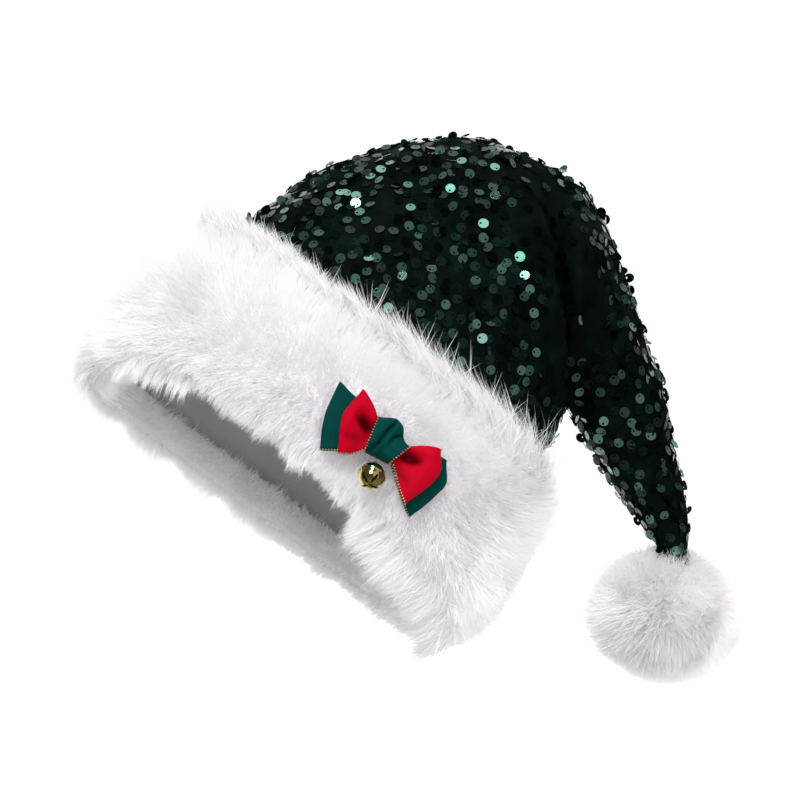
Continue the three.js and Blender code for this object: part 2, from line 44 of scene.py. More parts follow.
# Sizes in millimetres, the same as in the part's source
SIDEWAYS_TILT, BACKWARD_LEAN = 35, 13.5  # degrees
OPENING_LENGTH, OPENING_WIDTH, LENGTH_TAPER, WIDTH_TAPER = 218, 148, 32, 24
LINING_THICKNESS, CLOTH_THICKNESS, LAYER_GAP = 1.5, 2.0, 0.3
BAND_HEIGHT, FUR_DEPTH = 104, 23
TURN_UP, TURN_UP_DEPTH, TURN_UP_GAP, SLOT_FLOOR = 23, 6, 0.8, 6
CROWN_HEIGHT, TAIL_REACH, TAIL_SET_BACK, TIP_RADIUS = 239, 106, 28, 3
POMPOM_WIDTH, POMPOM_HEIGHT = 83, 71
TIP_SUNK, POMPOM_LEFT, POMPOM_BEHIND = 0.24, 0.145, 0.36
RIBBON_WIDTH, RIBBON_THICKNESS, RIBBON_GAP = 38, 0.8, 0.4
GREEN_REACH, RED_REACH, GREEN_PUFF, RED_PUFF = 34, 25, 5.6, 7
KNOT_LENGTH, KNOT_HEIGHT, KNOT_THICKNESS, KNOT_WAIST, KNOT_TAPER, PLEAT_DEPTH = 21, 21.5, 1.2, 0.07, 0.22, 1.4
BOW_CLEARANCE, BOW_ACROSS, BOW_UP, WING_DROP = 0.3, 33.5, 43, 0.24
BELL_DIAMETER, BELL_WALL, SHANK_RADIUS, SHANK_WIRE = 14, 0.6, 1.3, 0.45
BELL_SWING, BELL_TIP, PELLET_DIAMETER = 12, 30, 4  # the first two in degrees
BACKING = LINING_THICKNESS + CLOTH_THICKNESS + 2 * LAYER_GAP
WALL_BOTTOM = SLOT_FLOOR + 2 * LAYER_GAP
LINING_TOP = 0.82 * BAND_HEIGHT
TUCK_TOP = 0.88 * BAND_HEIGHT
CROWN_OUTWARDS = LINING_THICKNESS + LAYER_GAP + CLOTH_THICKNESS

# Sequins and hair, which the source leaves out
SEQUIN_SIZE, SEQUIN_HOLE, SEQUIN_SPACING, SEQUIN_SEGMENTS = 5.45, 1.24, 4.7, 14
SEQUIN_TRIES = 26000
FIRST_SEQUIN_ROW = 21  # of the crown's grid, just inside the band
TAIL_FROM = 96  # millimetres to the right
HOLLOW_DEPTH = 2.2
BAND_HAIRS, BAND_HAIR_LENGTH, BAND_BACKING_UNDER = 124000, 11.5, 8.0
POMPOM_HAIRS, POMPOM_HAIR_LENGTH, POMPOM_CORE_UNDER = 42000, 12.5, 9.0

# Numbers from tables and noise


def smoothstep(x, low, high):
    t = np.clip((x - low) / (high - low), 0, 1)
    return t * t * (3 - 2 * t)


def read_table(values, place, loop=False):
    """The smooth curve through a row of values, at places from 0 to 1, or round and round as a loop."""
    values = np.asarray(values, float)
    place = np.asarray(place, float)
    count = len(values)
    spans = count if loop else count - 1
    at = (place - np.floor(place) if loop else np.clip(place, 0, 1)) * spans
    start = np.minimum(np.floor(at).astype(int), spans - 1)
    t = at - start

    def row(k):
        return values[k % count] if loop else values[np.clip(k, 0, count - 1)]

    p0, p1, p2, p3 = (row(start + k) for k in (-1, 0, 1, 2))
    t = t.reshape(t.shape + (1,) * (values.ndim - 1))
    pull1, pull2 = (p2 - p0) / 2, (p3 - p1) / 2
    return ((2 * t**3 - 3 * t**2 + 1) * p1 + (t**3 - 2 * t**2 + t) * pull1
            + (3 * t**2 - 2 * t**3) * p2 + (t**3 - t**2) * pull2)


def noise(points, size, seed, channels=1):
    """Smooth noise from -1 to 1 with features of that size, at points in millimetres."""
    lattice = np.random.default_rng(seed).uniform(-1, 1, (32, 32, 32, channels))
    p = np.asarray(points, float) / size + 100
    cell = np.floor(p).astype(int)
    t = p - cell
    t = t * t * (3 - 2 * t)
    total = 0
    for dx in (0, 1):
        for dy in (0, 1):
            for dz in (0, 1):
                corner = lattice[(cell[..., 0] + dx) % 32, (cell[..., 1] + dy) % 32, (cell[..., 2] + dz) % 32]
                share = np.abs(1 - dx - t[..., 0]) * np.abs(1 - dy - t[..., 1]) * np.abs(1 - dz - t[..., 2])
                total = total + corner * share[..., None]
    return total[..., 0] if channels == 1 else total


def unit(v):
    return v / np.maximum(np.linalg.norm(v, axis=-1, keepdims=True), 1e-9)


def turned_about(axis, degrees):
    """The matrix that turns about x, y or z."""
    c, s = math.cos(math.radians(degrees)), math.sin(math.radians(degrees))
    if axis == "x":
        return np.array([[1, 0, 0], [0, c, -s], [0, s, c]])
    if axis == "y":
        return np.array([[c, 0, s], [0, 1, 0], [-s, 0, c]])
    return np.array([[c, -s, 0], [s, c, 0], [0, 0, 1]])


HAT_TURN = turned_about("y", SIDEWAYS_TILT) @ turned_about("x", -BACKWARD_LEAN)


def to_room(points):
    """From the hat's own frame to the room's."""
    return np.asarray(points) @ HAT_TURN.T


def from_room(points):
    return np.asarray(points) @ HAT_TURN


# Meshes


def make_mesh(name, points, faces, smooth=True, tones=None):
    """An object from points in millimetres in the room's frame, and arrays of faces of one kind each."""
    faces = [np.asarray(f, np.int32) for f in faces if len(f)]
    corners = np.concatenate([f.ravel() for f in faces])
    totals = np.concatenate([np.full(len(f), f.shape[1], np.int32) for f in faces])
    starts = np.concatenate([[0], np.cumsum(totals)[:-1]]).astype(np.int32)
    mesh = bpy.data.meshes.new(name)
    mesh.vertices.add(len(points))
    mesh.vertices.foreach_set("co", (np.asarray(points) * 0.001).astype(np.float32).ravel())
    mesh.loops.add(len(corners))
    mesh.loops.foreach_set("vertex_index", corners)
    mesh.polygons.add(len(totals))
    mesh.polygons.foreach_set("loop_start", starts)
    mesh.polygons.foreach_set("loop_total", totals)
    mesh.update(calc_edges=True)
    mesh.validate()
    mesh.polygons.foreach_set("use_smooth", np.full(len(mesh.polygons), smooth))
    # The tone attribute holds random tone, and painted shade in the satin's creases and the crown's hollows.
    if tones is not None:
        tone_and_shade = mesh.attributes.new("tone_and_shade", "FLOAT", "POINT")
        tone_and_shade.data.foreach_set("value", np.asarray(tones, np.float32))
    obj = bpy.data.objects.new(name, mesh)
    bpy.context.scene.collection.objects.link(obj)
    return obj


def grid_faces(rows, columns, loop_rows=False, loop_columns=False):
    r = np.arange(rows if loop_rows else rows - 1)
    c = np.arange(columns if loop_columns else columns - 1)
    r, c = np.meshgrid(r, c, indexing="ij")
    here, after = r * columns, (r + 1) % rows * columns
    c2 = (c + 1) % columns
    return np.stack([here + c, here + c2, after + c2, after + c], -1).reshape(-1, 4)


def cap(start, sides, middle):
    """Triangles from a ring of points to one in its middle."""
    k = np.arange(sides)
    return np.stack([start + k, start + (k + 1) % sides, np.full(sides, middle)], -1)


def grid_normals(grid, loop_rows=False, loop_columns=False):
    """Unit normals of a grid of points, rows crossed with columns."""
    along = np.gradient(grid, axis=0)
    across = np.gradient(grid, axis=1)
    if loop_rows:
        along = (np.roll(grid, -1, 0) - np.roll(grid, 1, 0)) / 2
    if loop_columns:
        across = (np.roll(grid, -1, 1) - np.roll(grid, 1, 1)) / 2
    return unit(np.cross(along, across))


def scatter_on(grid, count, rng):
    """Random places on a grid whose columns close on themselves: points, rows, columns, shares of a row."""
    across = np.roll(grid, -1, 1) - grid
    along = np.diff(grid, axis=0)
    areas = np.linalg.norm(np.cross(across[:-1], along), axis=-1).ravel()
    row, column = np.divmod(rng.choice(len(areas), count, p=areas / areas.sum()), grid.shape[1])
    fr, fc = rng.random((2, count))[:, :, None]
    after = (column + 1) % grid.shape[1]
    points = ((1 - fr) * (1 - fc) * grid[row, column] + fr * (1 - fc) * grid[row + 1, column]
              + (1 - fr) * fc * grid[row, after] + fr * fc * grid[row + 1, after])
    return points, row, column, fr[:, 0]


def finish_piece(obj, material, replaces=()):
    obj.data.materials.append(material)
    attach(obj, "root")
    if replaces:
        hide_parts(*replaces)
    return obj


# Materials


class Nodes:
    """A short way to write the nodes of a material or the world."""

    def __init__(self, owner):
        self.owner = owner
        self.tree = owner.node_tree
        self.shader = self.tree.nodes.get("Principled BSDF")

    def add(self, kind, settings=None, **inputs):
        node = self.tree.nodes.new(kind)
        for key, value in (settings or {}).items():
            setattr(node, key, value)
        for key, value in inputs.items():
            numbered = key[0] == "i" and key[1:].isdigit()
            self.put(node.inputs[int(key[1:]) if numbered else key], value)
        return node

    def put(self, socket, value):
        if isinstance(value, bpy.types.NodeSocket):
            self.tree.links.new(value, socket)
        else:
            socket.default_value = value

    def set(self, **inputs):
        for key, value in inputs.items():
            self.put(self.shader.inputs[key.replace("_", " ")], value)

    def math(self, operation, a, b=0.0, c=0.0):
        return self.add("ShaderNodeMath", {"operation": operation}, i0=a, i1=b, i2=c).outputs[0]

    def map_range(self, value, source, target):
        node = self.add("ShaderNodeMapRange", Value=value)
        node.inputs["From Min"].default_value, node.inputs["From Max"].default_value = source
        node.inputs["To Min"].default_value, node.inputs["To Max"].default_value = target
        return node.outputs[0]

    def noise(self, scale, detail=2.0, roughness=0.5):
        place = self.add("ShaderNodeTexCoord").outputs["Object"]
        node = self.add("ShaderNodeTexNoise", Vector=place, Scale=scale, Detail=detail, Roughness=roughness)
        return node.outputs[0]

    def ramp(self, value, stops):
        node = self.add("ShaderNodeValToRGB", Fac=value)
        elements = node.color_ramp.elements
        while len(elements) < len(stops):
            elements.new(0.5)
        for element, (at, colour) in zip(elements, stops):
            element.position = at
            element.color = (*colour, 1)
        return node.outputs[0]

    def attribute(self, name):
        return self.add("ShaderNodeAttribute", {"attribute_name": name}).outputs["Fac"]

    def bump(self, height, distance, strength=1.0):
        node = self.add("ShaderNodeBump", Strength=strength, Distance=distance, Height=height)
        return node.outputs[0]


def new_material(name):
    material = bpy.data.materials.new(name)
    material.use_nodes = True
    return Nodes(material)


def cloth_material():
    """Near-black blue-green velvet under fine net."""
    n = new_material("crown_velvet")
    colour = n.ramp(n.noise(45, 4, 0.6), [(0.35, (0.0003, 0.0011, 0.0012)), (0.55, (0.0005, 0.0035, 0.0034)),
                                          (0.75, (0.001, 0.009, 0.008))])
    n.set(Base_Color=colour, Roughness=0.75, Specular_IOR_Level=0.05)
    n.set(Sheen_Weight=0.015, Sheen_Roughness=0.4, Sheen_Tint=(0.1, 0.45, 0.4, 1))
    n.set(Normal=n.bump(n.noise(1400, 1), 0.0004, 0.6))
    return n.owner


def sequin_material():
    """Dark green mirror film."""
    n = new_material("sequin_film")
    # The tone differs from sequin to sequin at random, and is painted darker in the crown's hollows as shade.
    tone_and_shade = n.attribute("tone_and_shade")
    colour = n.ramp(tone_and_shade, [(0.0, (0.003, 0.012, 0.01)), (0.5, (0.011, 0.052, 0.039)),
                           (1.0, (0.16, 0.32, 0.26))])
    n.set(Base_Color=colour, Roughness=n.math("MULTIPLY_ADD", tone_and_shade, 0.08, 0.07))
    n.set(Metallic=0.9, Coat_Weight=0.16, Coat_Roughness=0.1)
    n.set(Normal=n.bump(n.noise(900, 1), 0.0002, 0.08))
    return n.owner


def plush_material(name, bright=0.975):
    """White fibre with a faint glow of its own, painted light that lifts its shade. It also passes light on.
    """
    n = new_material(name)
    mottle = n.noise(38, 3, 0.55)
    level = n.math("ADD", n.math("MULTIPLY", mottle, 0.6), n.math("MULTIPLY", n.attribute("tone_and_shade"), 0.4))
    colour = n.ramp(level, [(0.2, (bright * 0.96, bright * 0.95, bright * 0.975)),
                            (0.6, (bright, bright * 0.985, bright * 0.995))])
    # The emission is painted light: the fur glows faintly, though it is no lamp.
    n.set(Base_Color=colour, Emission_Color=colour, Emission_Strength=0.022, Roughness=0.9)
    n.set(Specular_IOR_Level=0.1, Sheen_Weight=0.15, Sheen_Roughness=0.5)
    translucent = n.add("ShaderNodeBsdfTranslucent", Color=colour)
    mix = n.add("ShaderNodeMixShader", i0=0.4, i1=n.shader.outputs[0], i2=translucent.outputs[0])
    n.tree.links.new(mix.outputs[0], n.tree.nodes["Material Output"].inputs[0])
    return n.owner


def backing_material():
    """The knitted backing deep in the plush."""
    n = new_material("plush_backing")
    knit = n.noise(500, 3)
    n.set(Base_Color=n.ramp(knit, [(0.3, (0.84, 0.83, 0.86)), (0.7, (0.92, 0.91, 0.93))]))
    n.set(Roughness=0.95, Sheen_Weight=0.2, Normal=n.bump(knit, 0.001, 0.5))
    return n.owner


def weave(n, scale_across, scale_along):
    """The height of a plain weave, from the piece's own cloth coordinates."""
    coordinates = n.add("ShaderNodeUVMap", {"uv_map": "weave"}).outputs[0]
    split = n.add("ShaderNodeSeparateXYZ", Vector=coordinates)
    warp = n.math("SINE", n.math("MULTIPLY", split.outputs[0], scale_across))
    weft = n.math("SINE", n.math("MULTIPLY", split.outputs[1], scale_along))
    return n.math("MULTIPLY", warp, weft)


def lining_material():
    n = new_material("lining_weave")
    colour = n.ramp(n.noise(30, 3), [(0.3, (0.55, 0.55, 0.565)), (0.7, (0.63, 0.63, 0.645))])
    n.set(Base_Color=colour, Roughness=0.85, Sheen_Weight=0.2, Specular_IOR_Level=0.2)
    n.set(Normal=n.bump(weave(n, 7.0, 7.0), 0.0002, 0.5))
    return n.owner


def satin_material(name, deep, bright):
    n = new_material(name)
    # The satin's colour is painted darker in its creases and dimples as shade, with a little random tone.
    level = n.math("ADD", n.attribute("tone_and_shade"), n.math("MULTIPLY", n.noise(60, 2), 0.2))
    colour = n.ramp(level, [(0.1, [0.25 * c for c in deep]), (0.6, deep), (1.0, bright)])
    n.set(Base_Color=colour, Roughness=0.42, Anisotropic=0.5, Specular_IOR_Level=0.03)
    tint = (*[min(1, 4 * c + 0.02) for c in bright], 1)
    n.set(Sheen_Weight=0.01, Sheen_Roughness=0.35, Sheen_Tint=tint)
    n.set(Normal=n.bump(weave(n, 12.0, 6.0), 0.00012, 0.45))
    return n.owner


def gold_material(name, roughness, grain, deep, bright):
    n = new_material(name)
    speckle = n.noise(grain, 2)
    n.set(Base_Color=n.ramp(speckle, [(0.3, deep), (0.7, bright)]), Roughness=roughness, Metallic=1.0)
    n.set(Normal=n.bump(speckle, 0.0002, 0.06))
    return n.owner


# Wall ovals


def oval_point(around, height, outwards):
    length = OPENING_LENGTH / 2 - LENGTH_TAPER / 2 * (height / BAND_HEIGHT) + outwards
    width = OPENING_WIDTH / 2 - WIDTH_TAPER / 2 * (height / BAND_HEIGHT) + outwards
    return np.stack(np.broadcast_arrays(length * np.cos(around * TURN), width * np.sin(around * TURN),
                                        height + 0 * around), -1)


EDGE_TOP = [0.03, -0.02, -0.02, -0.01, 0.07, 0.02, -0.08, -0.09]
EDGE_RIM = [-0.03, 0.02, 0.065, 0.045, -0.01, 0.155, 0.165, 0.05]
EDGE_FULL = [1.0, 1.0, 0.98, 0.97, 0.95, 0.98, 1.0, 1.0]
EDGE_APART = [0.063, 0.036, 0.021, 0.015, 0.009, 0.015, 0.017, 0.025]


def rim_height(around):
    return BAND_HEIGHT * read_table(EDGE_RIM, around, True)


def top_height(around):
    return BAND_HEIGHT * (1 + read_table(EDGE_TOP, around, True))


# Crown

# Sections of the crown: inner end across and up, outer end across and up, depth, and how far back
DOME = [
    (1.0, 0.0, -1.0, 0.0, 1.0, 0.0), (1.033, 0.139, -0.945, 0.2, 0.995, 0.0),
    (1.037, 0.2, -0.89, 0.325, 0.985, 0.0), (1.0, 0.285, -0.762, 0.52, 0.95, 0.0),
    (0.968, 0.333, -0.507, 0.753, 0.88, 0.0), (0.958, 0.35, -0.182, 0.935, 0.77, 0.0),
    (0.955, 0.358, 0.08, 0.995, 0.67, 0.0), (0.96, 0.358, 0.355, 1.01, 0.59, 0.0),
    (0.97, 0.354, 0.588, 0.985, 0.53, 0.18),
]
TAIL = [
    (0.063, 0.348, -0.097, 0.866, 0.47, 0.42), (0.139, 0.332, 0.101, 0.769, 0.42, 0.57),
    (0.261, 0.298, 0.28, 0.668, 0.36, 0.68), (0.422, 0.251, 0.459, 0.566, 0.3, 0.77),
    (0.582, 0.207, 0.62, 0.454, 0.24, 0.85), (0.742, 0.166, 0.771, 0.353, 0.18, 0.92),
    (0.865, 0.142, 0.903, 0.247, 0.125, 0.97), (0.952, 0.105, 0.992, 0.155, 0.08, 1.0),
]
# Folds: where along the sections, width, side, depth, fade towards one end
FOLDS = [(0.39, 0.036, -1, 0.9, 0.36), (0.39, 0.05, 1, 0.32, 0.5), (0.2, 0.05, -1, 0.08, -0.4),
         (0.58, 0.05, -1, 0.14, 0.2), (0.7, 0.045, 1, 0.14, -0.2)]


def crown_sections():
    wall_length = OPENING_LENGTH / 2 - LENGTH_TAPER / 2 * (TUCK_TOP / BAND_HEIGHT) + CROWN_OUTWARDS
    wall_width = OPENING_WIDTH / 2 - WIDTH_TAPER / 2 * (TUCK_TOP / BAND_HEIGHT) + CROWN_OUTWARDS
    rise = CROWN_HEIGHT - TUCK_TOP
    corner = DOME[-1][0] * wall_length
    rows = [(0, wall_length, *r) for r in DOME] + [(corner, TAIL_REACH, *r) for r in TAIL]
    return np.array([(start + ia * reach, TUCK_TOP + iu * rise, start + oa * reach, TUCK_TOP + ou * rise,
                      depth * wall_width, back * TAIL_SET_BACK)
                     for start, reach, ia, iu, oa, ou, depth, back in rows])


SECTIONS = crown_sections()


def crown_point(place, angle, grow=0.0):
    """The crown's outer face in the hat's frame. place runs along the sections, angle round them."""
    place, angle = np.broadcast_arrays(np.asarray(place, float), np.asarray(angle, float))
    ix, iz, ox, oz, depth, back = (read_table(SECTIONS[:, k], place) for k in range(6))
    share = np.ones_like(place)
    sine, cosine = np.sin(angle), np.cos(angle)
    for at, width, side, deep, fade in FOLDS:
        near = np.exp(-(((place - at) / width) ** 2))
        share = share - (np.sign(sine) == side) * deep * near * np.clip(0.5 + fade * cosine, 0, 1)
    half_x, half_z = (ix - ox) / 2, (iz - oz) / 2
    length = np.hypot(half_x, half_z)
    half_x, half_z = half_x * (length + grow) / length, half_z * (length + grow) / length
    return np.stack([(ix + ox) / 2 + half_x * cosine, (depth + grow) * sine * share + back,
                     (iz + oz) / 2 + half_z * cosine], -1)


def tip_point(distance):
    def middle(row):
        return np.array([(row[0] + row[2]) / 2, row[5], (row[1] + row[3]) / 2])
    end = middle(SECTIONS[-1])
    return end + unit(end - middle(SECTIONS[-2])) * distance


def crown_grid(along, sides, wall_rows):
    """Points of the crown from the rim to the tip, one row a section."""
    angle = np.arange(sides) / sides * TURN
    around = np.arange(sides) / sides
    bottom = oval_point(around, WALL_BOTTOM + rim_height(around), CROWN_OUTWARDS)
    top = crown_point(0.0, angle)
    wall = [bottom + (top - bottom) * (k / wall_rows) for k in range(wall_rows)]
    rows = [crown_point(place, angle) for place in np.linspace(0, 1, along)]
    return np.array(wall + rows)


# Hollows in the crown's front, dented into the cloth, where the sequins are thinned out and painted dark as
# shade: the middle across and up in the room, half the width and length, and the lean in degrees
HOLLOWS = [(148, 146, 10, 34, 9), (155, 85, 7, 38, 2), (167, 116, 12, 40, 18), (63, 153, 6.5, 17, -12)]


def in_hollow(points, facing_front):
    """How deep in a hollow each point lies, from 0 to 1."""
    room = to_room(points)
    deepest = np.zeros(room.shape[:-1])
    for x, z, half_width, half_length, lean in HOLLOWS:
        c, s = math.cos(math.radians(lean)), math.sin(math.radians(lean))
        dx, dz = room[..., 0] - x, room[..., 2] - z
        across, along = (dx * c + dz * s) / half_width, (dx * s - dz * c) / half_length
        deepest = np.maximum(deepest, np.exp(-(across**2 + along**4)))
    return deepest * facing_front


def wrinkled(grid, rows_from):
    """Soft dents and creases in the cloth above the band."""
    normals = grid_normals(grid, loop_columns=True)
    rows = np.arange(len(grid))[:, None]
    free = smoothstep(rows, rows_from, rows_from + 0.12 * (len(grid) - rows_from))
    free = free * (1 - smoothstep(rows, 0.93 * len(grid), len(grid) - 1))
    slow = noise(grid * [1, 1, 0.6], 34, 11)
    crease = 1 - np.abs(noise(grid * [1.0, 1.0, 0.55] + 6 * noise(grid, 21, 12)[..., None], 17, 13))
    dents = 1.5 * slow - 1.6 * smoothstep(crease, 0.72, 1.0) + 0.5 * noise(grid, 6, 14)
    front = (np.sin(np.arange(grid.shape[1]) / grid.shape[1] * TURN) < 0)[None]
    dents = dents - HOLLOW_DEPTH * in_hollow(grid, front)
    return grid + normals * (dents * free - 0.4)[..., None]


def make_crown():
    sides, along, wall_rows = 216, 200, 24
    outer = wrinkled(crown_grid(along, sides, wall_rows), wall_rows)
    # The grid's normals point inwards. The inner face has fewer points
    fewer_rows, fewer_sides = 3, 4
    inner = (outer + grid_normals(outer, loop_columns=True) * CLOTH_THICKNESS)[::fewer_rows, ::fewer_sides]
    around = np.arange(sides)[::fewer_sides] / sides
    inner[0] = oval_point(around, WALL_BOTTOM + rim_height(around), CROWN_OUTWARDS - CLOTH_THICKNESS)
    points = np.concatenate([outer.reshape(-1, 3), inner.reshape(-1, 3), [tip_point(TIP_RADIUS)],
                             [tip_point(TIP_RADIUS - CLOTH_THICKNESS)]])
    rows, inner_rows, inner_sides = len(outer), len(inner), inner.shape[1]
    faces = grid_faces(rows, sides, loop_columns=True)
    start = rows * sides
    inner_faces = start + grid_faces(inner_rows, inner_sides, loop_columns=True)[:, ::-1]
    tip_at = start + inner_rows * inner_sides
    fan = cap((rows - 1) * sides, sides, tip_at)
    inner_fan = cap(start + (inner_rows - 1) * inner_sides, inner_sides, tip_at + 1)[:, [1, 0, 2]]
    hem = []
    for k in range(inner_sides):
        a, b = start + k, start + (k + 1) % inner_sides
        for j in range(fewer_sides):
            here = k * fewer_sides + j
            hem.append(((here + 1) % sides, here, a if j < 2 else b))
        hem.append((a, b, k * fewer_sides + 2))
    obj = make_mesh("crown_cloth", to_room(points), [faces, inner_faces, fan, inner_fan, np.array(hem)])
    return obj, outer


crown_cloth, crown_face = make_crown()
finish_piece(crown_cloth, cloth_material(), ["crown"])

# Sequins


def place_sequins(grid, first_row, seed):
    """Spots spread evenly over the crown's face, none closer than the spacing, their rows and columns."""
    points, row, column, share = scatter_on(grid[first_row:], SEQUIN_TRIES, np.random.default_rng(seed))
    kept, kept_near = [], {}
    steps = [(dx, dy, dz) for dx in (-1, 0, 1) for dy in (-1, 0, 1) for dz in (-1, 0, 1)]
    for k, p in enumerate(points):
        key = tuple(np.floor(p / SEQUIN_SPACING).astype(int))
        near = [j for step in steps for j in kept_near.get(tuple(a + b for a, b in zip(key, step)), ())]
        if all(np.sum((points[j] - p) ** 2) > SEQUIN_SPACING**2 for j in near):
            kept.append(k)
            kept_near.setdefault(key, []).append(k)
    return points[kept], first_row + row[kept] + share[kept], column[kept]


def sequin_directions(normal, rng):
    """Where each sequin points: away from its hole, and sideways. Its far side lifts off the cloth."""
    count = len(normal)
    helper = np.where(np.abs(normal[:, 2:3]) > 0.8, [[1.0, 0, 0]], [[0, 0, 1.0]])
    u = unit(np.cross(helper, normal))
    v = np.cross(normal, u)
    heading = rng.uniform(0, TURN, count)[:, None]
    lift = np.abs(rng.normal(0, math.radians(12), count)) + math.radians(1)
    standing = rng.random(count) < 0.07
    lift = np.where(standing, rng.uniform(math.radians(25), math.radians(85), count), lift)[:, None]
    roll = rng.normal(0, math.radians(7), count)[:, None]
    outwards = np.cos(heading) * u + np.sin(heading) * v
    sideways = np.cos(roll) * np.cross(normal, outwards) + np.sin(roll) * normal
    return np.cos(lift) * outwards + np.sin(lift) * normal, sideways


def make_sequins():
    """Round sequins that hang from their holes, which lie on the cloth: front, back and tail."""
    normals = -grid_normals(crown_face, loop_columns=True)
    spots, rows, columns = place_sequins(crown_face, FIRST_SEQUIN_ROW, 21)
    rng = np.random.default_rng(22)
    hollow = in_hollow(spots, columns > normals.shape[1] / 2)
    shown = rng.random(len(spots)) > 0.9 * hollow
    spots, rows, columns, hollow = spots[shown], rows[shown], columns[shown], hollow[shown]
    normal = normals[np.minimum(rows.astype(int), len(normals) - 1), columns]
    count = len(spots)
    away, sideways = sequin_directions(normal, rng)
    radius = SEQUIN_SIZE / 2 * rng.uniform(0.94, 1.03, count)
    a = np.arange(SEQUIN_SEGMENTS)[:, None] / SEQUIN_SEGMENTS * TURN
    circle = np.cos(a) * away[:, None] + np.sin(a) * sideways[:, None]
    hole = spots + normal * rng.uniform(0.35, 0.7, count)[:, None]
    middle = hole + away * (0.52 * radius)[:, None]
    points = np.concatenate([middle[:, None] + radius[:, None, None] * circle,
                             hole[:, None] + SEQUIN_HOLE / 2 * circle], 1)
    ring = grid_faces(2, SEQUIN_SEGMENTS, loop_columns=True)
    tone_and_shade = np.where(rng.random(count) < 0.27, rng.uniform(0.7, 1, count), 0.66 * rng.random(count) ** 2.7)
    # Painted shade: the sequins left in the hollows are darkened.
    tone_and_shade = tone_and_shade * (1 - 0.95 * np.clip(1.4 * hollow, 0, 1))
    group = np.where(spots[:, 0] > TAIL_FROM, 2, np.where(spots[:, 1] < 0, 0, 1))
    material = sequin_material()
    pieces = []
    for index, name in enumerate(("sequins_front", "sequins_back", "sequins_tail")):
        which = group == index
        starts = np.arange(which.sum())[:, None, None] * 2 * SEQUIN_SEGMENTS
        obj = make_mesh(name, to_room(points[which].reshape(-1, 3)), [(starts + ring).reshape(-1, 4)],
                        smooth=False, tones=np.repeat(tone_and_shade[which], 2 * SEQUIN_SEGMENTS))
        pieces.append(finish_piece(obj, material))
    return pieces


make_sequins()

# Plush

# How far the fur stands out and how high, as shares, from the top edge down
FUR_PROFILE = [(0.28, 1.0), (0.64, 0.965), (0.9, 0.88), (1.02, 0.76), (1.06, 0.62), (1.05, 0.48),
               (1.01, 0.34), (0.92, 0.21), (0.72, 0.1), (0.36, 0.02)]
# The plush turned up inside the rim: how far inwards and how high, as shares
TURN_UP_PROFILE = [(0.3, -0.13), (0.9, 0.15), (1.0, 0.55), (0.7, 0.95)]
RIGHT_END_LEAN = 7


def plush_point(around, out, height):
    point = oval_point(around, height, BACKING + out)
    upper = smoothstep(height, 0.5 * BAND_HEIGHT, 0.9 * BAND_HEIGHT)
    point[..., 0] += RIGHT_END_LEAN * upper * (out / FUR_DEPTH) * np.abs(np.cos(around * TURN))
    return point


def under_bow(point):
    """How far the bow presses the fur flat, from 0 to 1."""
    across = np.abs(point[..., 0] - BOW_ACROSS) / (GREEN_REACH + 3)
    up = np.abs(point[..., 2] - BOW_UP + WING_DROP * GREEN_REACH * 0.5) / (RIBBON_WIDTH / 2 + 3)
    return (point[..., 1] < 0) * (1 - smoothstep(across, 0.8, 1.1)) * (1 - smoothstep(up, 0.8, 1.2))


def band_grid(around, rows, inset):
    """The band's face from its top edge round the rim to the turn-up's edge, inset from the fur's form."""
    rim, top = rim_height(around), top_height(around)
    full = FUR_DEPTH * read_table(EDGE_FULL, around, True)
    apart = OPENING_LENGTH / 2 * read_table(EDGE_APART, around, True)
    ring = [plush_point(around, apart + 0.3, top - 7)]
    for out, up in FUR_PROFILE:
        depth = np.maximum(out * full, apart + 0.1 * FUR_DEPTH) - inset * min(1, out / 0.6)
        height = rim + up * (top - rim)
        height = np.clip(height, rim + 4.5 * (1 - up) ** 2, top - 6.5 * up**2)
        ring.append(plush_point(around, np.maximum(depth, apart + 0.6), height))
    for inwards, up in TURN_UP_PROFILE:
        ring.append(plush_point(around, -BACKING - inwards * TURN_UP_DEPTH + 2.6 * inwards,
                                rim + up * (TURN_UP - 2.5) + (6.0 if up < 0 else 2.0 * (1 - up))))
    ring.append(plush_point(around, -BACKING - TURN_UP_GAP, rim + 0.82 * TURN_UP))
    ring = np.array(ring)
    place = np.linspace(0, 1, rows)
    return np.stack([read_table(ring[:, :, k], place) for k in range(3)], -1)


def blades(name, roots, middle, tip, side, widths, tones, material):
    """Hairs of three triangles each, bent once."""
    count = len(roots)
    half = (widths / 2)[:, None]
    points = np.stack([roots - side * half, roots + side * half, middle - side * half * 0.8,
                       middle + side * half * 0.8, tip], 1)
    base = np.arange(count) * 5
    quads = np.stack([base, base + 1, base + 3, base + 2], -1)
    ends = np.stack([base + 2, base + 3, base + 4], -1)
    obj = make_mesh(name, to_room(points.reshape(-1, 3)), [quads, ends], tones=np.repeat(tones, 5))
    finish_piece(obj, material)


def strands(name, roots, normals, combs, lengths, widths, tones, material):
    """Fur whose hairs leave their roots along the normal and bend towards their comb."""
    first = unit(normals * 0.75 + combs * 0.5)
    second = unit(first * 0.65 + unit(combs * 1.1 + normals * 0.35) * 0.7)
    side = unit(np.cross(first, normals + 0.4 * np.roll(first, 1, axis=1)))
    middle = roots + first * (lengths * 0.52)[:, None]
    tip = middle + second * (lengths * 0.55)[:, None]
    blades(name, roots, middle, tip, side, widths, tones, material)


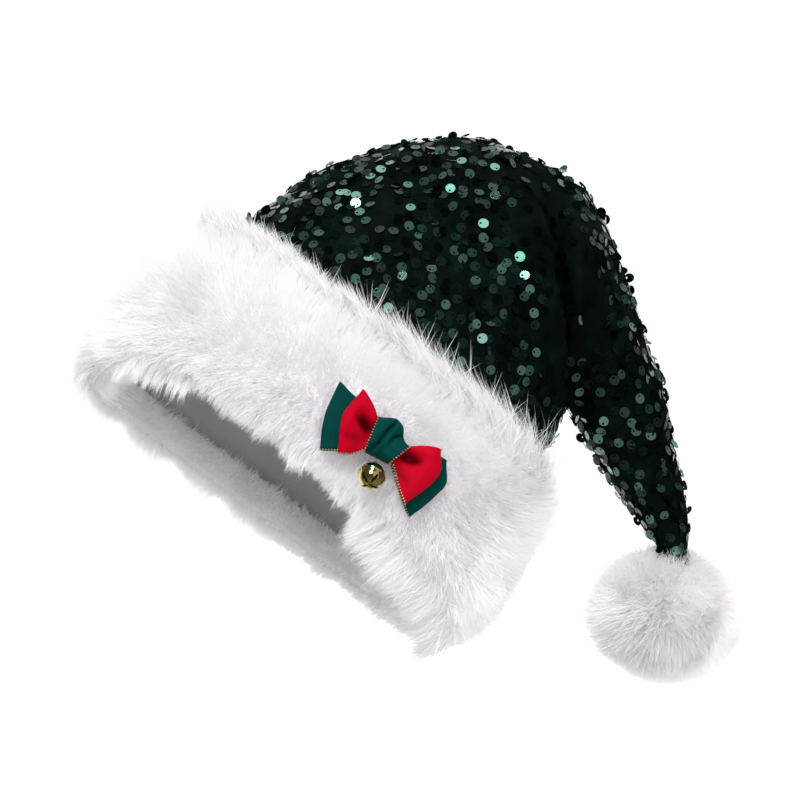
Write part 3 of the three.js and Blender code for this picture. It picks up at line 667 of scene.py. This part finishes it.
def locks(name, roots, normals, aims, lengths, hairs, spread, seed, thickness=1.0):
    """Locks of hair, each drawn together towards its tip."""
    rng = np.random.default_rng(seed)
    each = np.repeat(np.arange(len(roots)), hairs)
    count = len(each)
    base = roots[each] + rng.normal(0, spread, (count, 3))
    aim = unit(aims[each] + rng.normal(0, 0.1, (count, 3)))
    stray = rng.random(count) < 0.12
    aim = np.where(stray[:, None], unit(aim + rng.normal(0, 0.45, (count, 3))), aim)
    reach = lengths[each] * rng.uniform(0.55, 1.12, count)
    tip = roots[each] + aim * reach[:, None] + rng.normal(0, 0.3 * spread, (count, 3))
    middle = 0.5 * (base + tip) + normals[each] * (0.1 * reach)[:, None] + rng.normal(0, 0.35, (count, 3))
    side = unit(np.cross(tip - base, normals[each] + rng.normal(0, 0.5, (count, 3))))
    widths = thickness * rng.uniform(0.2, 0.36, count)
    tones = np.clip(rng.normal(0.75, 0.2, count), 0, 1)
    blades(name, base, middle, tip, side, widths, tones, plush)


plush = plush_material("plush_fibre")
# The pompom's copy is a little lighter in colour and glow, as painted light.
pompom_plush_painted_light = plush_material("pompom_fibre_painted_light", 0.985)
backing = backing_material()


def hair_widths(count, rng):
    return rng.uniform(0.26, 0.46, count)


def hair_tones(points, size, seed, rng):
    return np.clip(0.5 + 0.3 * noise(points, size, seed) + rng.normal(0, 0.15, len(points)), 0, 1)


def make_band_backing(grid, around):
    """The bare back of the pile, as one closed skin."""
    normals = grid_normals(grid, loop_columns=True)
    lumpy = grid + normals * (0.9 * noise(grid, 9, 33) + 0.6 * noise(grid, 4, 34))[..., None]
    low = rim_height(around) + SLOT_FLOOR
    high = np.full(len(around), TUCK_TOP - 6.0)
    back = np.array([oval_point(around, low, -BACKING - TURN_UP_GAP + 0.3),
                     oval_point(around, low - 0.3, BACKING),
                     oval_point(around, high, BACKING)])
    closed = np.concatenate([lumpy, back])
    skin = make_mesh("plush_band_backing", to_room(closed.reshape(-1, 3)),
                     [grid_faces(len(closed), len(around), loop_rows=True, loop_columns=True)])
    finish_piece(skin, backing, ["plush_band"])


def make_band():
    """The band's backing and fur, which leans down the face, lies flat under the bow and is ragged below."""
    rng = np.random.default_rng(31)
    rows, sides = 90, 260
    around = np.arange(sides) / sides
    grid = band_grid(around, rows, BAND_BACKING_UNDER)
    make_band_backing(grid, around)
    points, row, column, part_row = scatter_on(grid[:-4], BAND_HAIRS, rng)
    normal = grid_normals(grid[:-4], loop_columns=True)[row, column]
    down = unit(grid[row + 1, column] - grid[row, column])
    share = (row + part_row) / (rows - 5)
    lean = np.interp(share, [0, 0.08, 0.3, 0.5, 0.66, 0.74, 0.85, 1.0],
                     [-0.9, -0.8, -0.25, 0.2, 0.45, 0.35, 0.3, 0.1])
    combs = down * lean[:, None] + 0.2 * noise(points, 13, 35, 3) + 0.1 * noise(points, 4.5, 36, 3)
    combs = combs + rng.normal(0, 0.14, (BAND_HAIRS, 3))
    flat = under_bow(points)
    combs = combs + down * 0.4 * flat[:, None]
    inside = smoothstep(share, 0.74, 0.8)
    length = rng.normal(BAND_HAIR_LENGTH, 1.6, BAND_HAIRS) * (1 + 0.12 * noise(points, 7, 37))
    at_rim = smoothstep(share, 0.56, 0.68)
    ragged = 1 + 0.5 * at_rim * (1 - inside) * noise(points, 11, 40)
    length = length * (1 - 0.34 * at_rim) * (1 - 0.25 * inside) * (1 - 0.25 * flat) * ragged
    widths = hair_widths(BAND_HAIRS, rng)
    tones = hair_tones(points, 10, 38, rng)
    for index, part in enumerate(np.array_split(np.argsort(column, kind="stable"), 3)):
        strands(f"plush_band_fur_{index + 1}", points[part], normal[part], combs[part], length[part],
                widths[part], tones[part], plush)
    return grid


band_face = make_band()


def lock_roots(first, rows, tries, rng):
    """Random places on some rows of the band's face, with the normal at each and its place in the room."""
    part = band_face[first : first + rows]
    points, row, column, _ = scatter_on(part, tries, rng)
    return points, grid_normals(part, loop_columns=True)[row, column], to_room(points)


def edge_locks():
    """Longer locks that stand up over the crown, and ragged ones round the opening."""
    rng = np.random.default_rng(61)
    # The top edge
    points, normal, room = lock_roots(6, 12, 1050, rng)
    front = points[:, 1] < 0
    to_right = smoothstep(room[:, 0], 15, 100)
    wanted = np.where(front, 0.5 + 0.35 * to_right, 0.15) + 0.3 * noise(points, 9, 62)
    kept = rng.random(len(points)) < wanted
    points, normal, front, to_right = points[kept], normal[kept], front[kept], to_right[kept]
    count = len(points)
    length = np.where(front, 19 + 15 * to_right, 12.0) * rng.uniform(0.6, 1.15, count)
    aims = from_room([-0.36, -0.3, 1.0]) + 0.14 * noise(points, 12, 63, 3) + rng.normal(0, 0.06, (count, 3))
    locks("plush_band_top_locks", points, normal, unit(aims), length, 52, 1.2, 64, 1.7)
    # The near lip, and the right end of the opening, that they close over
    low = len(band_face) * 61 // 100
    points, normal, room = lock_roots(low, 9, 3400, rng)
    at_end = smoothstep(room[:, 0], 48, 66) * (1 - smoothstep(room[:, 0], 102, 114))
    wanted = (points[:, 1] < 0) * (0.3 * smoothstep(noise(points, 10, 65), 0.05, 0.4) + 0.7 * at_end)
    kept = rng.random(len(points)) < wanted
    points, normal, at_end = points[kept], normal[kept], at_end[kept]
    length = (13 + 9.0 * at_end) * rng.uniform(0.7, 1.25, len(points))
    at_end = at_end[:, None]
    aims = from_room([-0.42, -0.1, -0.85]) * (1 - at_end) + from_room([-0.85, -0.1, -0.45]) * at_end
    aims = aims + 0.2 * noise(points, 12, 66, 3)
    locks("plush_band_lip_locks", points, normal, unit(aims), length, 26, 0.8, 67)
    # The far side of the opening's right end
    points, normal, room = lock_roots(low, 12, 2600, rng)
    at_end = smoothstep(room[:, 0], 35, 60) * (1 - smoothstep(room[:, 0], 100, 112))
    wanted = (points[:, 1] > 0) * 0.5 * at_end
    kept = rng.random(len(points)) < wanted
    points, normal = points[kept], normal[kept]
    length = 13 * rng.uniform(0.7, 1.25, len(points))
    aims = from_room([0.4, -0.55, 0.6]) + 0.2 * noise(points, 12, 68, 3)
    locks("plush_band_far_locks", points, normal, unit(aims), length, 26, 0.9, 69)


edge_locks()

# Pompom


def pompom_centre():
    half = POMPOM_WIDTH / 2
    tip = to_room(tip_point(0))
    return tip + np.array([-POMPOM_LEFT * half, POMPOM_BEHIND * half, -(1 - TIP_SUNK) * POMPOM_HEIGHT / 2])


def make_pompom():
    rng = np.random.default_rng(41)
    centre = pompom_centre()
    rows, sides = 60, 120
    polar = np.linspace(0.02, math.pi - 0.02, rows)[:, None]
    around = (np.arange(sides) / sides * TURN)[None]
    direction = np.stack(np.broadcast_arrays(np.sin(polar) * np.cos(around), np.sin(polar) * np.sin(around),
                                             np.cos(polar)), -1)
    half = np.array([POMPOM_WIDTH / 2, POMPOM_WIDTH / 2, POMPOM_HEIGHT / 2])
    core = direction * (half - POMPOM_CORE_UNDER)
    core = core * (1 + 0.03 * noise(core + centre, 14, 42) + 0.02 * noise(core, 6, 43))[..., None]
    pole = np.array([0, 0, half[2] - POMPOM_CORE_UNDER])
    points = np.concatenate([(core + centre).reshape(-1, 3), [centre + pole], [centre - pole]])
    faces = grid_faces(rows, sides, loop_columns=True)[:, ::-1]
    top = cap(0, sides, rows * sides)[:, [1, 0, 2]]
    bottom = cap((rows - 1) * sides, sides, rows * sides + 1)
    obj = make_mesh("pompom_core", points, [faces, np.concatenate([top, bottom])])
    finish_piece(obj, backing, ["pompom"])
    toward = unit(rng.normal(0, 1, (POMPOM_HAIRS, 3)))
    roots = toward * (half - POMPOM_CORE_UNDER - 0.5)
    wild = noise(roots + centre, 15, 44, 3)
    fine = noise(roots + centre, 5, 45, 3)
    combs = 0.26 * wild + 0.1 * fine + np.array([0.0, 0.0, -0.2]) + rng.normal(0, 0.15, (POMPOM_HAIRS, 3))
    length = rng.normal(POMPOM_HAIR_LENGTH, 1.8, POMPOM_HAIRS) * (1 + 0.15 * noise(roots, 9, 46))
    widths = hair_widths(POMPOM_HAIRS, rng)
    strands("pompom_fur", from_room(roots + centre), from_room(unit(toward / half)), from_room(combs), length,
            widths, hair_tones(roots, 11, 47, rng), pompom_plush_painted_light)


make_pompom()

# Lining


def add_weave_map(obj, coordinates):
    """Cloth coordinates in millimetres, for the weave."""
    layer = obj.data.uv_layers.new(name="weave")
    index = np.zeros(len(obj.data.loops), np.int32)
    obj.data.loops.foreach_get("vertex_index", index)
    layer.data.foreach_set("uv", coordinates.reshape(-1, 2)[index].astype(np.float32).ravel())


def make_lining():
    sides, rows = 144, 32
    around = np.arange(sides) / sides
    bottom = WALL_BOTTOM + rim_height(around)
    heights = bottom[None] + (LINING_TOP - bottom)[None] * np.linspace(0, 1, rows)[:, None]
    along_cloth = np.stack(np.broadcast_arrays(around[None] * 600, heights * 0.6, 0.0), -1)
    ripple = 0.5 * noise(along_cloth, 26, 51)
    inner = oval_point(around[None], heights, -0.4 * np.abs(ripple))
    outer = oval_point(around[None], heights, LINING_THICKNESS)
    grid = np.concatenate([inner, outer[::-1]])
    obj = make_mesh("lining_cloth", to_room(grid.reshape(-1, 3)),
                    [grid_faces(2 * rows, sides, loop_rows=True, loop_columns=True)])
    coordinates = np.broadcast_arrays(around[None] * 580, np.concatenate([heights, heights[::-1]]))
    add_weave_map(obj, np.stack(coordinates, -1))
    finish_piece(obj, lining_material(), ["lining"])


make_lining()

# Bow


def fur_under_bow():
    """How far out the fur's form stands where the knot sits."""
    front = 0.75 + math.asin(2 * BOW_ACROSS / OPENING_LENGTH) / TURN
    rim, top = rim_height(front), top_height(front)
    heights = BOW_UP + np.linspace(-0.5, 0.5, 5) * KNOT_HEIGHT
    outs, ups = zip(*FUR_PROFILE[::-1])
    fur = FUR_DEPTH * np.interp((heights - rim) / (top - rim), ups, outs)
    return float(max(fur - WIDTH_TAPER / 2 * (heights - BOW_UP) / BAND_HEIGHT))


FUR_UNDER_BOW = fur_under_bow()


def front_point(across, up, off):
    across, up, off = np.broadcast_arrays(*(np.asarray(a, float) for a in (across, up, off)))
    reach = BACKING + FUR_UNDER_BOW + BOW_CLEARANCE + off
    length = OPENING_LENGTH / 2 - LENGTH_TAPER / 2 * (BOW_UP / BAND_HEIGHT) + reach
    width = OPENING_WIDTH / 2 - WIDTH_TAPER / 2 * (BOW_UP / BAND_HEIGHT) + reach
    sine = np.clip((BOW_ACROSS + across) / length, -1, 1)
    return np.stack([BOW_ACROSS + across, -width * np.sqrt(1 - sine**2), BOW_UP + up], -1)


GATHERED_HALF = RIBBON_THICKNESS + RIBBON_GAP
KNOT_DEPTH = 1.2 * (4 * GATHERED_HALF + RIBBON_GAP + PLEAT_DEPTH) + 2 * KNOT_THICKNESS
GATHERED_MIDDLE = KNOT_DEPTH / 2 - 0.1 * PLEAT_DEPTH
GATHERED_APART = GATHERED_HALF + RIBBON_GAP / 2

# The wings, left and right: how far the fold reaches, from the lower selvage to the upper one, and how high
# the upper and the lower selvage run, from the knot's middle to the fold
GREEN_WINGS = (
    ([26.1, 30.6, 34.2, 36.0, 37.3], [4.6, 5.2, 8.5, 10.2, 11.2, 12.9], [-4.6, -5.2, -10, -15, -18.8, -22]),
    ([31.2, 33.9, 35.9, 36.7, 30.4], [4.6, 5.0, 7.4, 10, 12.4, 13.8], [-4.6, -5.0, -9.4, -14, -18, -21.4]))
RED_WINGS = (
    ([17.8, 22.4, 26.5, 26.3, 25.5], [5.0, 5.6, 7.8, 11.2, 13.2, 14.8], [-5.0, -6.0, -8.6, -14, -17, -19]),
    ([25.5, 28.2, 30.6, 30.6, 24.7], [4.8, 5.0, 6.2, 10, 12.8, 14.7], [-4.8, -5.0, -6.8, -11.6, -16, -19]))
# How high the knot's top stands, from its left end to its right
KNOT_TOP = [9.0, 10.6, 12.6, 13.9, 13.5, 12.2, 8.2, 6.7, 6.6]


def signed_power(value, power):
    return np.sign(value) * np.abs(value) ** power


def crease(distance, width):
    return np.exp(-((distance / width) ** 2))


def ribbon_surface(around, t, wings, gathered_off, off, puff):
    """A ribbon folded into a flat ring, gathered by the knot and fanned out into its wings."""
    around, t = np.broadcast_arrays(around, t)
    reach = signed_power(np.cos(around * TURN), 0.8)
    share = np.abs(reach)
    (left_fold, left_top, left_low), (right_fold, right_top, right_low) = wings
    is_left = reach < 0
    fold = np.where(is_left, read_table(left_fold, t), read_table(right_fold, t))
    top = np.where(is_left, read_table(left_top, share), read_table(right_top, share))
    low = np.where(is_left, read_table(left_low, share), read_table(right_low, share))
    across, up = reach * fold, low + (top - low) * t
    opened = smoothstep(np.abs(across), 0.45 * KNOT_LENGTH, RED_REACH)
    half = GATHERED_HALF + (puff / 2 - GATHERED_HALF) * opened
    middle = gathered_off + (off - gathered_off) * opened
    pleat = PLEAT_DEPTH * np.exp(-((across / KNOT_LENGTH) ** 2)) * ((2 * t - 1) ** 2 - 0.4)
    front = signed_power(np.sin(around * TURN), 0.6)
    # The dimple beside the knot and the creases that run out of it
    beside = np.abs(across) - 0.5 * KNOT_LENGTH
    dimple = -2.8 * crease(beside - 4, 5) * crease(up - 1.0 - 0.12 * beside, 2.8)
    dimple = dimple - 0.6 * crease(beside - 7, 6) * crease(up + 5 + 0.5 * beside, 2.4)
    dimple = dimple + 1.0 * crease(beside - 7, 6) * crease(up - 5.5 - 0.35 * beside, 2.2)
    return front_point(across, up, middle + half * front + pleat + dimple)


def knot_surface(around, t):
    """The ribbon wound round the middle of both, longer and humped at its top, creased by the winding."""
    around, t = np.broadcast_arrays(around, t)
    angle = around * TURN
    level = signed_power(np.sin(angle), 0.4)
    waist = 1 - KNOT_WAIST * np.sin(math.pi * t)
    up = level * np.where(level > 0, read_table(KNOT_TOP, t), 9.2 - 2.7 * t)
    across = (2 * t - 1) * (9.1 + 2.0 * level)
    off = KNOT_DEPTH / 2 * (1 + signed_power(np.cos(angle), 0.4) * waist)
    long_line = across + 4.4 - 0.14 * (up + 5)
    short_line = (across - 0.74 * up + 1.4) / 1.25
    creases = -1.5 * crease(long_line, 1.0) + 1.4 * crease(long_line - 2.6, 1.6)
    creases = creases - 1.0 * crease(short_line, 0.9) * smoothstep(across, -4, -1)
    creases = np.maximum(creases - 0.8 * crease(up + 6 + 0.12 * across, 1.2), -1.4)
    return front_point(across, up, off + (creases + 0.6) * np.clip(np.cos(angle), 0, 1))


def satin_crease_shade(outer, inward):
    """How light the satin is at each point: painted shade, darker where the face lies deeper than round
    about.
    """
    even = outer
    for _ in range(40):
        sides = np.concatenate([even[:, :1], even, even[:, -1:]], 1)
        even = (np.roll(even, 1, 0) + np.roll(even, -1, 0) + sides[:, :-2] + sides[:, 2:]) / 4
    return 1 - smoothstep(np.sum((outer - even) * inward, -1), -0.5, 1.3)


def strip(name, surface, thickness, around_steps, across_steps, material, replaces, length):
    """A ribbon that closes on itself, with its thickness and cloth coordinates, and its outer face."""
    around = (np.arange(around_steps) / around_steps)[:, None]
    across = np.linspace(0, 1, across_steps)[None]
    outer = surface(around, across)
    step = 0.002
    along = surface(around + step, across) - surface(around - step, across)
    side = surface(around, np.minimum(1, across + step)) - surface(around, np.maximum(0, across - step))
    inward = unit(np.cross(along, side))
    tone_and_shade = satin_crease_shade(outer, inward)
    grid = np.concatenate([outer, (outer + inward * thickness)[:, ::-1]], 1)
    faces = grid_faces(around_steps, 2 * across_steps, True, True)[:, ::-1]
    tones = np.concatenate([tone_and_shade, tone_and_shade[:, ::-1]], 1).ravel()
    obj = make_mesh(name, to_room(grid.reshape(-1, 3)), [faces], tones=tones)
    shares = np.concatenate([across, across[:, ::-1]], 1)
    add_weave_map(obj, np.stack(np.broadcast_arrays(around * length, shares * RIBBON_WIDTH), -1))
    return finish_piece(obj, material, [replaces]), outer


# A stitch of the edge thread: rings along it, each with its shift and its radius
STITCH_LENGTH = 1.5
STITCH_RINGS = np.array([(-0.4, 0.16), (-0.24, 0.42), (0.16, 0.42), (0.34, 0.16)])


def edge_thread(name, outer_grid, material, bare=0.0):
    """Gold thread whipped over both selvages in short stitches, none so near the knot's middle."""
    stitches = []
    a = np.arange(6)[:, None] / 6 * TURN
    shift, size = STITCH_RINGS[:, 0, None, None], STITCH_RINGS[:, 1, None, None]
    for edge in (outer_grid[:, 0], outer_grid[:, -1]):
        closed = np.concatenate([edge, edge[:1]])
        lengths = np.concatenate([[0], np.cumsum(np.linalg.norm(np.diff(closed, axis=0), axis=1))])
        number = int(lengths[-1] / STITCH_LENGTH)
        at = np.arange(number) * lengths[-1] / number
        centre, ahead = (np.stack([np.interp(where, lengths, closed[:, k]) for k in range(3)], -1)
                         for where in (at, (at + 0.3) % lengths[-1]))
        direction = unit(ahead - centre)
        side = unit(np.cross(direction, [0.0, -1.0, 0.0]) + 1e-6)
        third = np.cross(side, direction)
        shown = np.abs(centre[:, 0] - BOW_ACROSS) >= bare
        c, d, s, t = (v[shown][:, None, None] for v in (centre, direction, side, third))
        stitches.append(c + (d + 0.5 * s) * shift + (s * np.cos(a) + t * np.sin(a)) * size)
    points = np.concatenate(stitches)
    starts = np.arange(len(points))[:, None, None] * points[0, ..., 0].size
    faces = (starts + grid_faces(len(STITCH_RINGS), len(a), loop_columns=True)).reshape(-1, 4)
    return finish_piece(make_mesh(name, to_room(points.reshape(-1, 3)), [faces]), material)


green = satin_material("green_satin", (0.0003, 0.027, 0.024), (0.0004, 0.047, 0.042))
red = satin_material("red_satin", (0.3, 0.0003, 0.008), (0.47, 0.0005, 0.014))
gold_thread = gold_material("gold_thread", 0.35, 900, (0.85, 0.66, 0.3), (1.0, 0.93, 0.7))
gold_plate = gold_material("gold_plate", 0.12, 120, (0.55, 0.45, 0.14), (0.8, 0.68, 0.3))


def make_bow():
    green_off = GREEN_PUFF / 2 + 1.2
    red_off = GREEN_PUFF + RED_PUFF / 2 + 1.6

    def green_face(around, t):
        return ribbon_surface(around, t, GREEN_WINGS, GATHERED_MIDDLE - GATHERED_APART, green_off, GREEN_PUFF)

    def red_face(around, t):
        return ribbon_surface(around, t, RED_WINGS, GATHERED_MIDDLE + GATHERED_APART, red_off, RED_PUFF)

    green_wings, green_grid = strip("bow_green_wings", green_face, RIBBON_THICKNESS, 220, 26, green,
                                    "bow_green_ribbon", 140)
    red_wings, red_grid = strip("bow_red_wings", red_face, RIBBON_THICKNESS, 220, 26, red,
                                "bow_red_ribbon", 115)
    knot, knot_grid = strip("bow_knot_wrap", knot_surface, KNOT_THICKNESS, 120, 44, green,
                            "bow_knot", 60)
    # The wings' upper thread lies a little deeper
    green_grid[:, -1, 1] += 0.7
    red_grid[:, -1, 1] += 0.7
    green_edging = edge_thread("bow_green_edging", green_grid, gold_thread, 8.0)
    red_edging = edge_thread("bow_red_edging", red_grid, gold_thread, 8.0)
    knot_edging = edge_thread("bow_knot_edging", knot_grid, gold_thread)


make_bow()

# Bell


def lathe(profile, sides):
    """Rings round z through a profile of (radius, height)."""
    around = np.arange(sides) / sides * TURN
    r, z = np.array(profile).T[:, :, None]
    return np.stack(np.broadcast_arrays(r * np.cos(around), r * np.sin(around), z), -1)


def arc(radius, end, steps):
    """A profile's arc about the centre, from so near one pole to so near the other, with its angles."""
    angles = np.linspace(end - math.pi / 2, math.pi / 2 - end, steps)
    return np.stack([radius * np.cos(angles), radius * np.sin(angles)], -1), angles


BOX_CORNERS = np.array([[x, y, z] for x in (-1, 1) for y in (-1, 1) for z in (-1, 1)], float)
BOX_FACES = np.array([(0, 1, 3, 2), (4, 6, 7, 5), (0, 4, 5, 1), (2, 3, 7, 6), (0, 2, 6, 4), (1, 5, 7, 3)])
SLOT_HALF_LENGTH, SLOT_HALF_WIDTH, SLOT_HALF_DEPTH = 5.7, 0.65, 2.6


def cut_slots(shell, to_hat, slot_turn):
    """Cuts two crossed slots into the bell's foot."""
    cutters = []
    for length, width in ((SLOT_HALF_LENGTH, SLOT_HALF_WIDTH), (SLOT_HALF_WIDTH, SLOT_HALF_LENGTH)):
        box = BOX_CORNERS * [length, width, SLOT_HALF_DEPTH] - [0, 0, BELL_DIAMETER / 2 - 1.2]
        cutters.append(make_mesh("slot", to_hat(box @ slot_turn.T), [BOX_FACES]))
        cut = shell.modifiers.new("slot", "BOOLEAN")
        cut.operation, cut.solver, cut.object = "DIFFERENCE", "EXACT", cutters[-1]
    graph = bpy.context.evaluated_depsgraph_get()
    shell_cut = bpy.data.meshes.new_from_object(shell.evaluated_get(graph))
    shell.modifiers.clear()
    shell.data = shell_cut
    for cutter in cutters:
        bpy.data.objects.remove(cutter)
    shell.data.polygons.foreach_set("use_smooth", np.ones(len(shell.data.polygons), bool))
    shell.data.set_sharp_from_angle(angle=math.radians(40))
    shell.data.materials.clear()


def make_bell():
    radius = BELL_DIAMETER / 2
    hang_across = 1.4
    shank_top = radius + 2 * (SHANK_RADIUS + SHANK_WIRE) - 0.6 * SHANK_WIRE
    shank_off = radius - math.sin(math.radians(BELL_TIP)) * shank_top + 2 * BOW_CLEARANCE
    knot_bottom = KNOT_HEIGHT / 2 * (1 - KNOT_WAIST) * (1 - KNOT_TAPER * (0.5 + hang_across / KNOT_LENGTH))
    hangs_from = front_point(hang_across, -knot_bottom - LAYER_GAP, shank_off)
    turned = turned_about("y", -BELL_SWING) @ turned_about("x", -BELL_TIP)

    def to_hat(points):
        return to_room((np.asarray(points) - [0, 0, shank_top]) @ turned.T + hangs_from)

    # The shell, with a raised seam round its middle
    outer, angles = arc(radius, 0.02, 41)
    inner, _ = arc(radius - BELL_WALL, 0.02, 41)
    outer[:, 0] += 0.34 * np.exp(-((angles / 0.07) ** 2)) * np.cos(angles)
    rings = lathe(np.concatenate([outer, inner[::-1]]), 72)
    shell = make_mesh("bell_shell", to_hat(rings.reshape(-1, 3)),
                      [grid_faces(*rings.shape[:2], True, True)[:, ::-1]])
    cut_slots(shell, to_hat, turned_about("x", -14) @ turned_about("z", 25))
    finish_piece(shell, gold_plate, ["bell"])
    # The wire shank
    a, b = np.arange(40)[:, None] / 40 * TURN, np.arange(12)[None] / 12 * TURN
    out = SHANK_RADIUS + SHANK_WIRE * np.cos(b)
    wire = np.stack(np.broadcast_arrays(np.cos(a) * out, SHANK_WIRE * np.sin(b), np.sin(a) * out), -1)
    wire = wire + [0, 0, shank_top - SHANK_RADIUS - SHANK_WIRE]
    shank = make_mesh("bell_shank", to_hat(wire.reshape(-1, 3)), [grid_faces(40, 12, True, True)])
    finish_piece(shank, gold_plate)
    # The loose pellet
    profile, _ = arc(PELLET_DIAMETER / 2, 0.05, 14)
    ball = lathe(profile[::-1], 24) + [0, 0, -radius + BELL_WALL + PELLET_DIAMETER / 2 + 0.1]
    rows, sides = ball.shape[:2]
    ends = [np.arange(sides)[None, ::-1], ((rows - 1) * sides + np.arange(sides))[None]]
    pellet = make_mesh("bell_pellet_ball", to_hat(ball.reshape(-1, 3)),
                       [grid_faces(rows, sides, loop_columns=True), *ends])
    finish_piece(pellet, gold_plate, ["bell_pellet"])


make_bell()

# Studio


HAT_MIDDLE = np.array([0.07, 0.0, 0.06])


def area_light(name, location, size, power):
    """A soft light that points at the hat: metres and watts."""
    data = bpy.data.lights.new(name, "AREA")
    data.shape = "RECTANGLE"
    data.size, data.size_y = size
    data.energy = power
    obj = bpy.data.objects.new(name, data)
    obj.location = location
    obj.rotation_mode = "QUATERNION"
    obj.rotation_quaternion = Vector(HAT_MIDDLE - location).to_track_quat("-Z", "Y")
    bpy.context.scene.collection.objects.link(obj)


def make_world():
    """White where the camera looks. Glossy surfaces mirror a bright wall behind and a dim floor."""
    world = bpy.data.worlds.new("studio")
    bpy.context.scene.world = world
    world.use_nodes = True
    n = Nodes(world)
    n.tree.nodes.clear()
    direction = n.add("ShaderNodeTexCoord").outputs["Generated"]
    split = n.add("ShaderNodeSeparateXYZ", Vector=direction)
    rearward = n.math("MULTIPLY_ADD", split.outputs["X"], -0.5, split.outputs["Y"])
    behind = n.map_range(rearward, (0.5, 0.8), (0.09, 1.4))
    below = n.map_range(split.outputs["Z"], (-0.1, -0.7), (0.0, 0.2))
    # Matt surfaces are lit from all sides, a little more from the front, the right and above
    facing = n.add("ShaderNodeVectorMath", {"operation": "DOT_PRODUCT"}, i0=direction, i1=(0.3, -0.36, 0.18))
    matt = n.math("ADD", facing.outputs["Value"], 0.62)
    path = n.add("ShaderNodeLightPath")
    glossy = n.math("ADD", behind, below)
    strength = n.add("ShaderNodeMix", i0=path.outputs["Is Diffuse Ray"], i2=glossy, i3=matt)
    room = n.add("ShaderNodeBackground", Strength=strength.outputs[0])
    seen = n.add("ShaderNodeBackground", Color=(1, 1, 1, 1), Strength=1.05)
    to_camera = path.outputs["Is Camera Ray"]
    mix = n.add("ShaderNodeMixShader", i0=to_camera, i1=room.outputs[0], i2=seen.outputs[0])
    n.add("ShaderNodeOutputWorld", i0=mix.outputs[0])


def make_floor():
    sides, drop = 96, -420.0
    around = np.arange(sides) / sides * TURN
    radii = np.array([0.0, 400, 1500, 4000, 9000, 14000.0])[:, None]
    rings = np.stack(np.broadcast_arrays(radii * np.cos(around), radii * np.sin(around), drop), -1)
    floor = make_mesh("floor", rings.reshape(-1, 3), [grid_faces(len(radii), sides, loop_columns=True)])
    n = new_material("floor_paper")
    n.set(Base_Color=n.ramp(n.noise(3, 2), [(0.4, (0.9, 0.9, 0.9)), (0.6, (0.93, 0.93, 0.93))]))
    n.set(Roughness=0.9, Emission_Color=(1, 1, 1, 1), Emission_Strength=1.0)
    floor.data.materials.append(n.owner)
    floor.visible_glossy = False
    floor.visible_diffuse = False


def make_camera():
    camera = bpy.data.cameras.new("camera")
    camera.lens = 220.75
    camera.sensor_width = 36
    camera.clip_start, camera.clip_end = 0.1, 60
    obj = bpy.data.objects.new("camera", camera)
    obj.location = (0.0721, -2.57, 0.0567)
    obj.rotation_euler = (math.pi / 2, 0, 0)
    bpy.context.scene.collection.objects.link(obj)
    bpy.context.scene.camera = obj


bpy.context.scene.view_settings.view_transform = "Standard"
make_world()
area_light("key", (-0.12, -2.05, 1.25), (0.7, 0.7), 30)
area_light("glint", (0.2, -1.3, 1.8), (0.4, 0.4), 9)
area_light("fill", (1.3, -1.5, 0.5), (1.7, 1.9), 4)
area_light("rim_right", (1.3, 0.9, 0.7), (0.5, 1.2), 1.5)
area_light("top", (0.1, 0.2, 1.6), (1.2, 0.8), 5)
make_floor()
make_camera()
